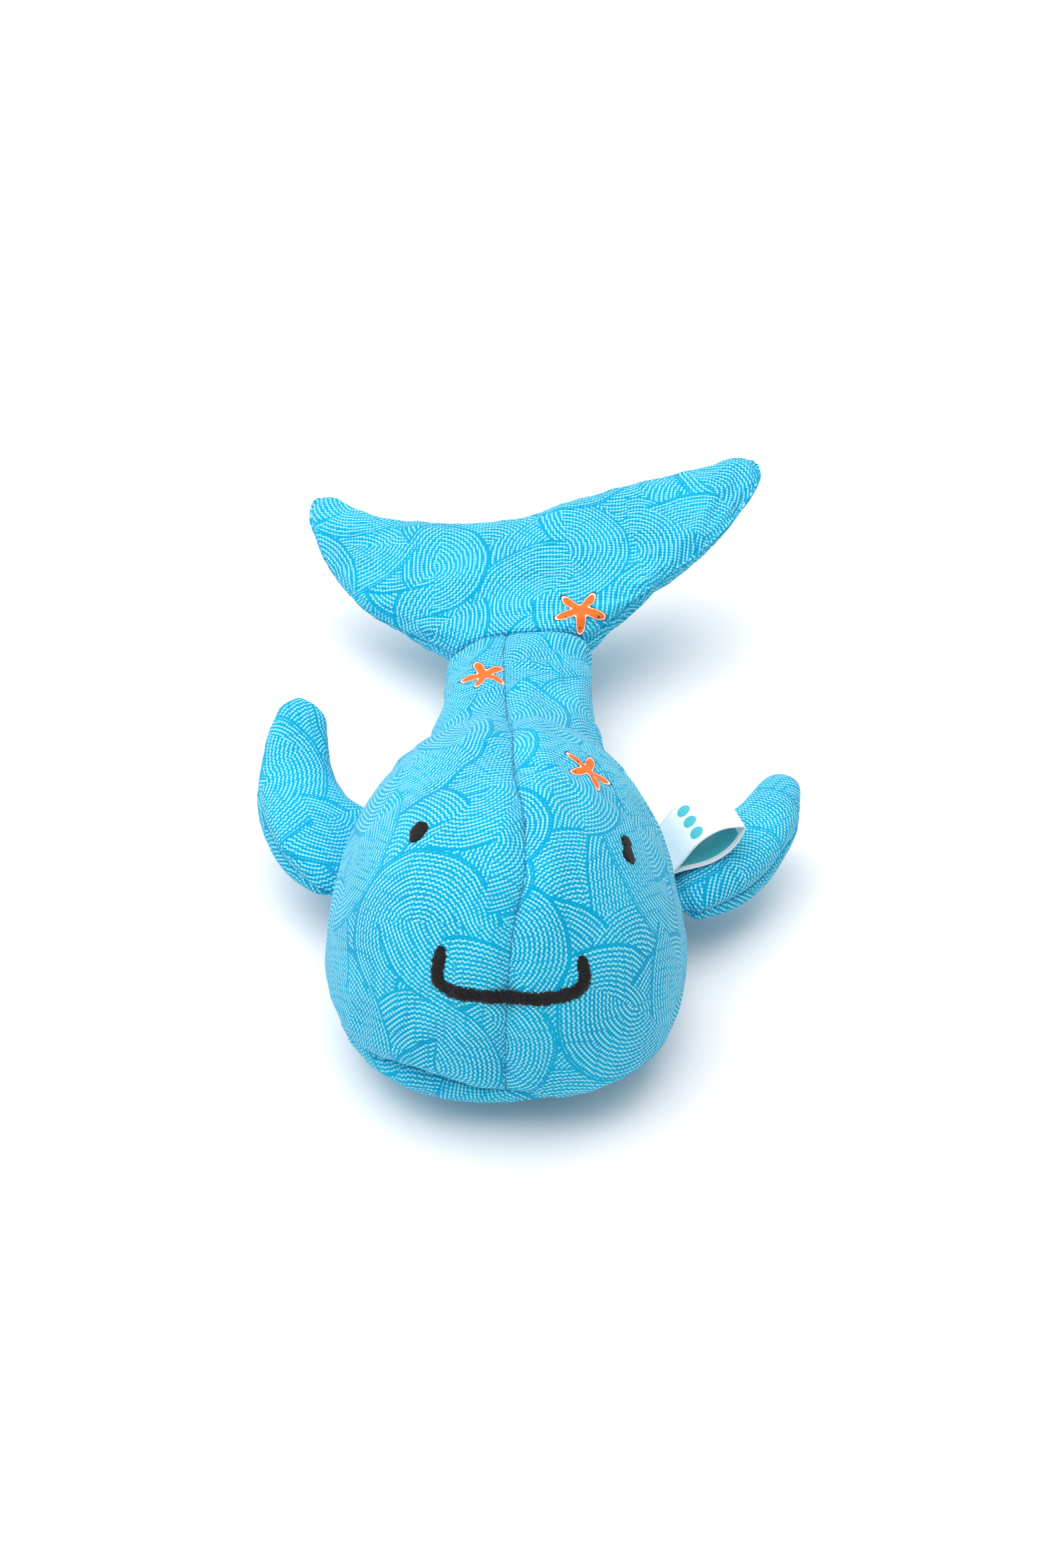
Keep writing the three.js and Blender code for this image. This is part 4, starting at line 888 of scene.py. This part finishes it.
def fluke_rings(rings, segments):
    """Rings of points from the body's last ring to the fluke's trailing edge."""
    lead = edge_curve([(FLUKE_ROOT, 0)], FLUKE_LEAD, FLUKE_SPAN, FLUKE_LENGTH)
    trail = edge_curve([], FLUKE_TRAIL, FLUKE_SPAN, FLUKE_LENGTH)
    corner = lead(1.0)
    tail = outline(TAIL_Y, np.arange(segments) / segments)[0]
    turn = np.arange(segments) / segments * 2 * math.pi
    near = np.where(turn > math.pi, turn - 2 * math.pi, turn)
    lifted = FLUKE_SEAM_LIFT * np.exp(-((near / 0.7) ** 2))
    across = np.cos(turn)
    side = np.where(across < 0, -1, 1)
    edge = trail(1 - np.abs(across)) * np.stack([side, np.ones(segments)], -1)
    blend = ((across + 1) / 2)[:, None]
    out = []
    for share in np.linspace(0, 1, rings) ** 0.9:
        angle = turn + lifted * smooth(share / 0.2) * (1 - 0.5 * share)
        swell = table(np.linspace(0, 1, len(FLUKE_SWELLS)), FLUKE_SWELLS, share)
        full = (FLUKE_ROOT_THICK + (FLUKE_THICK - FLUKE_ROOT_THICK) * min(1, share * 4)) * swell
        height = 0.25 + (full - 0.25) * round_off(share, 3.0)
        root = np.stack([FLUKE_ROOT * across, np.zeros(segments)], -1) * (1 - share)
        right = lead(share)
        p = root + edge * share + (right * (-1, 1)) * (1 - blend) + right * blend
        p -= np.stack([FLUKE_ROOT * across * (1 - share) + corner[0] * across * share,
                       np.full(segments, corner[1] * share)], -1)
        p[:, 0] *= np.where(p[:, 0] > 0, np.cos(angle - turn), 1)
        lean = p[:, 0] / FLUKE_SPAN
        p[:, 1] += table(FLUKE_LEANS, FLUKE_SHIFTS, lean) * float(smooth(share))
        p[:, 0] *= 1 + np.where(lean > 0, FLUKE_RIGHT_MORE, FLUKE_LEFT_MORE) * smooth(np.abs(lean))
        thick = height * power(np.sin(angle), 2 / LIMB_ROUND)
        ring = placed("fluke", np.stack([*turned(*p.T, FLUKE_YAW * share), thick], -1))
        if share == 0:
            shift = tail - ring
        out.append(ring + shift * (1 - smooth(share / 0.22)))
    out = np.array(out)
    for column in (0, segments // 2):
        # The tip's corner is filleted: a ball that touches both edges takes in what lies past it
        corner = out[-1, column].copy()
        before, after = (edge[np.argmin(np.abs(norms(edge - corner) - TIP_ROUND))]
                         for edge in (out[:, column], out[-1]))
        inwards = (before + after) / 2 - corner
        inwards /= np.linalg.norm(inwards)
        opening = np.linalg.norm(before - after) / 2 / TIP_ROUND
        offset = out - corner - inwards * TIP_ROUND / opening
        length = norms(offset)
        past = (length > TIP_ROUND) & (offset @ inwards < -TIP_ROUND * opening) & (length < 3 * TIP_ROUND)
        out[past] -= offset[past] * (1 - TIP_ROUND / length[past])[:, None]
    return out


def flipper_rings(side, sweep, curl, fuller, rings, segments):
    """Rings of points in the flipper's own frame, from inside the body to the tip."""
    half = FLIPPER_ROOT / 2
    lead = edge_curve([(0, -half)], FLIPPER_LEAD, FLIPPER_REACH, FLIPPER_BACK)
    trail = edge_curve([(0, half)], FLIPPER_TRAIL, FLIPPER_REACH, FLIPPER_BACK)
    places = np.linspace(0, 1, len(FLIPPER_SWELLS))
    angle = np.arange(segments) / segments * 2 * math.pi
    blend = ((power(np.cos(angle), 2 / LIMB_ROUND) + 1) / 2)[:, None]

    def swept(p):
        return np.array(turned(*p, -math.radians(sweep) * smooth(p[0] / SWEEP_WIDTH)))

    out = []
    shares = np.sin(np.linspace(0, 1, rings) * math.pi / 2) ** 1.35
    for step, share in zip((-3.4, -1.6, *([0] * rings)), (0, 0, *shares)):
        wider = fuller * math.sin(math.pi * share ** 1.5)
        front, back = swept(lead(share)), swept(trail(share) - np.array([wider, 0]))
        swell = table(places, FLIPPER_SWELLS, share)
        full = 2.2 + (FLIPPER_THICK - 2.2) * swell
        height = full * round_off(share, 2.4)
        p = back * (1 - blend) + front * blend + np.array([step, 0])
        share_curl = np.maximum(0, p[:, 1] - CURL_START) / FLIPPER_BACK
        slope = -2 * curl * share_curl / FLIPPER_BACK
        up = np.stack([np.zeros(segments), slope, np.ones(segments)], -1)
        up /= np.linalg.norm(up, axis=1, keepdims=True)
        ring = np.concatenate([p, (curl * share_curl ** 2)[:, None]], 1)
        ring += up * (height * power(np.sin(angle), 2 / LIMB_ROUND))[:, None]
        ring[:, 0] *= side
        out.append(ring)
    return np.array(out)


def flat_end(row):
    """Quads over a ring that is pressed flat, from its vertex numbers."""
    half = len(row) // 2
    return grid_quads(np.stack([row[:half + 1], row[::-1][:half + 1]]))


def turned_out(points, faces, centre):
    """Faces that look away from a centre, and whether they did so before."""
    a, b, c = (points[faces[:, k]] for k in range(3))
    outwards = ((points[faces].mean(1) - centre) * np.cross(b - a, c - a)).sum() > 0
    return (faces if outwards else faces[:, ::-1]), outwards


def limb_form(world):
    """A limb's vertex numbers, points and outward faces from rings of points, and whether the faces were so before."""
    index, points = ring_index(*world.shape[:2]), world.reshape(-1, 3)
    quads = np.concatenate([grid_quads(index), flat_end(index[-1])])
    faces = quads[:, [0, 1, 2, 0, 2, 3]].reshape(-1, 3)
    return index, points, *turned_out(points, faces, points.mean(0))


def limb(name, world, coarse_world, seed, stars=()):
    """A limb's two cloths, fibre and thread from rings of points: the upper half runs over turns 0 to 0.5."""
    is_fluke = name == "fluke"
    count, segments = world.shape[:2]
    half = segments // 2
    index, points, faces, outwards = limb_form(world)
    normals = normals_of(points, faces)
    tree = kd_of(points[np.concatenate([index[:, [0, half]].ravel(), index[-1, :-1]])])
    _, coarse, coarse_faces, _ = limb_form(coarse_world)
    folds = carried(points, coarse, coarse_faces, wrinkles(coarse, coarse_faces, tree))
    tips = index[-1, [0, half]]
    moved = sewn(points, normals, tree, folds, LIMB_LUMP, seed, LIMB_SEAM_DEPTH, tips=points[tips])
    moved = eased(moved, faces, moved[tips])
    if is_fluke:
        moved[:segments] = body_points[tail_ring]
    made = []
    # The lower panels face down and get the deep print: painted shade
    for part, first, slot, deep in (("upper", 0, "print_cloth", False), ("lower", half, "deep_print_cloth", True)):
        own = index[:, first:first + half + 1]
        quads, _ = turned_out(moved, grid_quads(own), points.mean(0))
        piece = mesh_object(f"{name}_{part}_cloth", *used_only(moved, quads))
        unwrap(piece, np.array(LIMBS[name][1]), moved[own[count // 2, half // 2]])
        pitch = FLUKE_RING_PITCH if is_fluke else RING_PITCH
        printed = cloth(f"{name}_{part}_print", seed + first, () if deep else stars, deep, pitch)
        dress(piece, printed, slot, f"{name}_{part}_panel")
        solidify(piece)
        made.append(piece)
    first = FIBRE_START if is_fluke else FLIPPER_FIBRE_START
    rings = count - 1 - FIBRE_SHORT - first
    inner = (moved - LIMB_FIBRE_INSET * normals)[segments * first:segments * (first + rings)]
    core = faces - segments * first
    core = core[((core >= 0) & (core < len(inner))).all(1)]
    inner = eased(inner, core, moved[tips], FIBRE_EASE, FIBRE_EASE_ROUNDS)
    core = core.tolist()
    for ring, turned in ((0, False), (rings - 1, True)):
        cap = flat_end(index[ring])[:, [0, 3, 2, 1]]
        core += (cap[:, ::-1] if turned == outwards else cap).tolist()
    made.append(dress(mesh_object(f"{name}_fibre", inner, core), FIBRE, "fill", f"{name}_stuffing"))
    strands = Strands()
    edge = np.concatenate([index[:, 0], index[-1, 1:half + 1], index[-2::-1, half]])
    stitched(strands, moved[edge], surface_of(moved, faces))
    threads = strands.piece(f"{name}_stitches", BLUE_THREAD, "blue_thread", f"{name}_edge_thread")
    for piece in made + [threads]:
        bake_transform(piece)


fluke_stars = [((17.0, -12.0), 0.2, 7.6)]
limb("fluke", fluke_rings(*FLUKE_RINGS), fluke_rings(*FLUKE_TRIAL), 41, fluke_stars)
for name, side, *shape, seed in (("left_flipper", 1, 26, 1, 0, 53), ("right_flipper", -1, 11, 17, 3, 67)):
    fine, coarse = (placed(name, flipper_rings(side, *shape, *counts)) for counts in (FLIPPER_RINGS, FLIPPER_TRIAL))
    x, origin = np.array(LIMBS[name][0]) * side, np.array(LIMBS[name][3])
    limb(name, fine, coarse, seed)

left_rim, right_rim, belly_rim = ({tuple(e) for e in open_edges(f).tolist()}
                                  for f in (left_faces, right_faces, belly_faces))
centre_runs = edge_runs(left_rim & right_rim)
belly_run = edge_runs(belly_rim)[0]
for name, run, node in (("centre_stitches", centre_runs[0], "centre_seam_thread"),
                        ("under_tail_stitches", centre_runs[-1], "under_tail_seam_thread"),
                        ("belly_stitches", belly_run, "belly_seam_thread"),
                        ("tail_stitches", tail_ring + tail_ring[:1], "tail_seam_thread")):
    strands = Strands()
    stitched(strands, body_points[run], body_surface)
    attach(strands.piece(name, BLUE_THREAD, "blue_thread", node), "whale_body")

# The closing stitches: a ladder over the hand-sewn part of the belly seam
strands = Strands()
chin = resampled(body_points[belly_run], 0.5)
chin = [p for p in chin if p[1] < -25 and abs(p[0] - CREASE_X) < CREASE_HALF]
chin.sort(key=lambda p: p[0])
for k in range(2, len(chin) - 2, LADDER_EVERY):
    middle = Vector(chin[k])
    along = (Vector(chin[min(k + 2, len(chin) - 1)]) - Vector(chin[k - 2])).normalized()
    place, normal, _, _ = body_surface.find_nearest(middle)
    up = normal.cross(along).normalized()
    rung = []
    for share in (-1, -0.5, 0, 0.5, 1):
        near, out, _, _ = body_surface.find_nearest(middle + up * share * LADDER_HALF + along * share * 0.5)
        rung.append(near + out * (0.1 if abs(share) < 1 else -0.3))
    strands.add(rung, 0.22)
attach(strands.piece("closing_ladder", BLUE_THREAD, "blue_thread", "closing_stitch"), "whale_body")


# Embroidery
def satin(strands, middle, across, half, lift=0.42):
    """One satin stitch over the cloth, arched, with its ends sunk in."""
    middle, across = Vector(middle), Vector(across)
    thread = []
    for share in np.linspace(-1, 1, SATIN_STEPS):
        near, out, _, _ = flat_surface.find_nearest(middle + across * half * float(share))
        thread.append(near + out * (lift * math.sqrt(max(0, 1 - float(share) ** 2)) - 0.12))
    strands.add(thread, SATIN_RADIUS)


def eye(name, top, bottom, halves, node, seed):
    """Satin stitches from side to side, from an eye's top to its bottom."""
    draw = np.random.default_rng(seed)
    strands = Strands()
    top, bottom = Vector(top), Vector(bottom)
    rows_of = int((top - bottom).length / SATIN_PITCH)
    for k in range(rows_of + 1):
        share = k / rows_of
        middle = top.lerp(bottom, share)
        _, out, _, _ = flat_surface.find_nearest(middle)
        across = (bottom - top).normalized().cross(out).normalized()
        half = float(np.interp(share, np.linspace(0, 1, len(halves)), halves)) + draw.uniform(-0.12, 0.12)
        satin(strands, middle + across * float(draw.uniform(-0.12, 0.12)), across, half)
    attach(strands.piece(name, BLACK_THREAD, "black_thread", node), "whale_body")


eye("right_eye_satin", (-18.7, -24.3, 61.9), (-20.5, -28.2, 59.9),
    (1.5, 2.3, 2.6, 2.6, 2.3, 2, 1.6, 1.1), "right_eye", 5)
eye("left_eye_satin", (25.2, -21.5, 55.7), (26.0, -27.4, 53.5),
    (1, 1.7, 1.85, 1.7, 1.5, 1.65, 2.1, 2.35, 2.2, 1.3), "left_eye", 6)

MOUTH = ((-14.2, 48.7), (-15.1, 45.2), (-15.2, 42.3), (-13.4, 41), (-7, 40.9), (-1.6, 40.2), (5, 40.3), (10.6, 39.6),
         (14.4, 39.8), (16.3, 41.6), (16.1, 44.4), (15.5, 46.6))
draw = np.random.default_rng(7)
strands = Strands()
front = []
for x, z in resampled(catmull(MOUTH)(np.linspace(0, 1, 300)), SATIN_PITCH):
    hit, _, _, _ = flat_surface.ray_cast(Vector((x, -120, z)), Vector((0, 1, 0)))
    front.append(hit)
for k, p in enumerate(front):
    along = (front[min(k + 2, len(front) - 1)] - front[max(k - 2, 0)]).normalized()
    _, out, _, _ = flat_surface.find_nearest(p)
    across = along.cross(out).normalized()
    end = min(k, len(front) - 1 - k) * SATIN_PITCH
    half = MOUTH_HALF * min(1, 0.45 + 0.55 * end / 1.2) + draw.uniform(-0.2, 0.2)
    satin(strands, p + across * float(draw.uniform(-0.15, 0.15)), across, half, 0.5)
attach(strands.piece("mouth_satin", BLACK_THREAD, "black_thread", "mouth_embroidery"), "whale_body")


# The ribbon label, a loop folded at its outer end
def ribbon_path():
    """The loop seen along the ribbon's width, from its stub in the seam out and back."""
    shares = (0, 0.22, 0.5, 0.76, 0.94, 1, 0.96, 0.8, 0.46, 0)
    at = (1 - np.cos(np.linspace(0, math.pi, 40))) / 2
    half = table(np.linspace(0, 1, len(shares)), shares, at) * RIBBON_HEIGHT / 2 + 0.2
    x = RIBBON_STUB + (RIBBON_REACH - RIBBON_STUB) * at
    upper = np.stack([x, half], -1)
    lower = np.stack([x, -half], -1)[::-1][1:]
    return np.concatenate([[(-1.6, 0.25), (0.8, 0.22)], upper, lower, [(0.8, -0.22), (-1.6, -0.25)]])


RIBBON_STEP = 0.4
path = resampled(ribbon_path(), RIBBON_STEP)
across = np.linspace(-RIBBON_WIDTH / 2, RIBBON_WIDTH / 2, 24)
points = np.array([[(x, y, z + 0.12 * math.sin(y / 3.1 + x / 6)) for y in across] for x, z in path])
count, wide = points.shape[:2]
quads = grid_quads(np.arange(count * wide).reshape(count, wide))
ribbon = mesh_object("ribbon_label", placed("label", points).reshape(-1, 3), quads)
layer = ribbon.data.uv_layers.new(name="fabric")
corners = np.empty(len(ribbon.data.loops), np.int32)
ribbon.data.loops.foreach_get("vertex_index", corners)
flat = np.stack([(corners // wide) * RIBBON_STEP, across[corners % wide]], -1)
layer.uv.foreach_set("vector", flat.astype(np.float32).ravel())
solidify(ribbon, 0.35)


def ribbon_material():
    n = Nodes("ribbon_satin")
    uv = n.add("ShaderNodeUVMap", uv_map="fabric").outputs[0]
    part = n.add("ShaderNodeSeparateXYZ", {0: uv})
    along, side = part.outputs[0], part.outputs[1]
    margin = n.math("LESS_THAN", n.math("ABSOLUTE", side), RIBBON_WIDTH / 2 - 1.3)
    field = n.math("MULTIPLY", n.math("GREATER_THAN", along, 28.0), margin)
    spot = n.math("PINGPONG", side, 2.2)
    apart = n.math("SUBTRACT", along, 14.0)
    band = n.math("LESS_THAN", n.math("ADD", n.math("MULTIPLY", apart, apart), n.math("MULTIPLY", spot, spot)), 2.9)
    teal = n.math("MAXIMUM", field, n.math("MULTIPLY", band, margin))
    grain = n.noise(uv, 3.0, 3.0)
    ribs = n.math("SINE", n.math("MULTIPLY", along, 14.0))
    colour = n.mix(teal, srgb(246, 249, 251), n.mix(grain, srgb(40, 178, 190), srgb(78, 198, 205)))
    height = n.math("MULTIPLY_ADD", ribs, 0.3, grain)
    return n.finish(colour, height, 0.0001, 0.4, Roughness=0.42, Sheen_Weight=0.2)


dress(ribbon, ribbon_material(), "ribbon", "label_loop")
origin, out = np.array(LIMBS["label"][3]), np.array(LIMBS["label"][0])
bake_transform(ribbon)

# Lights and backdrop
n = Nodes("studio", bpy.data.worlds)
SCENE.world = n.made
rays = n.add("ShaderNodeLightPath").outputs["Is Camera Ray"]
plain, seen = (n.add("ShaderNodeBackground", {"Color": (1, 1, 1, 1), "Strength": strength}).outputs[0]
               for strength in (0.45, 1.0))
n.put(n.tree.nodes["World Output"].inputs[0], n.add("ShaderNodeMixShader", {0: rays, 1: plain, 2: seen}).outputs[0])
light = bpy.data.lights.new("key", "AREA")
light.size, light.energy = 2.0, 27.0
holder = bpy.data.objects.new("key", light)
holder.location = (-0.25, 0.1, 1.2)
holder.rotation_euler = (Vector((0, 0.03, 0)) - holder.location).to_track_quat("-Z", "Y").to_euler()
SCENE.collection.objects.link(holder)
floor_mesh = bpy.data.meshes.new("floor")
floor_mesh.from_pydata([(-6, -6, 0), (6, -6, 0), (6, 6, 0), (-6, 6, 0)], [], [(0, 1, 2, 3)])
floor = bpy.data.objects.new("floor", floor_mesh)
SCENE.collection.objects.link(floor)
n = Nodes("floor_white")
place = n.add("ShaderNodeTexCoord").outputs["Object"]
far_off = n.add("ShaderNodeMapRange", {0: n.vector("LENGTH", place), 1: 0.4, 2: 1.6, 3: 0.02, 4: 0.5},
                interpolation_type="SMOOTHSTEP")
floor_mesh.materials.append(n.finish((0.97, 0.94, 0.945, 1), Roughness=0.9, Specular_IOR_Level=0.0,
                                     Emission_Color=(1, 0.975, 0.975, 1), Emission_Strength=far_off.outputs[0]))

SCENE.view_settings.view_transform = "Standard"
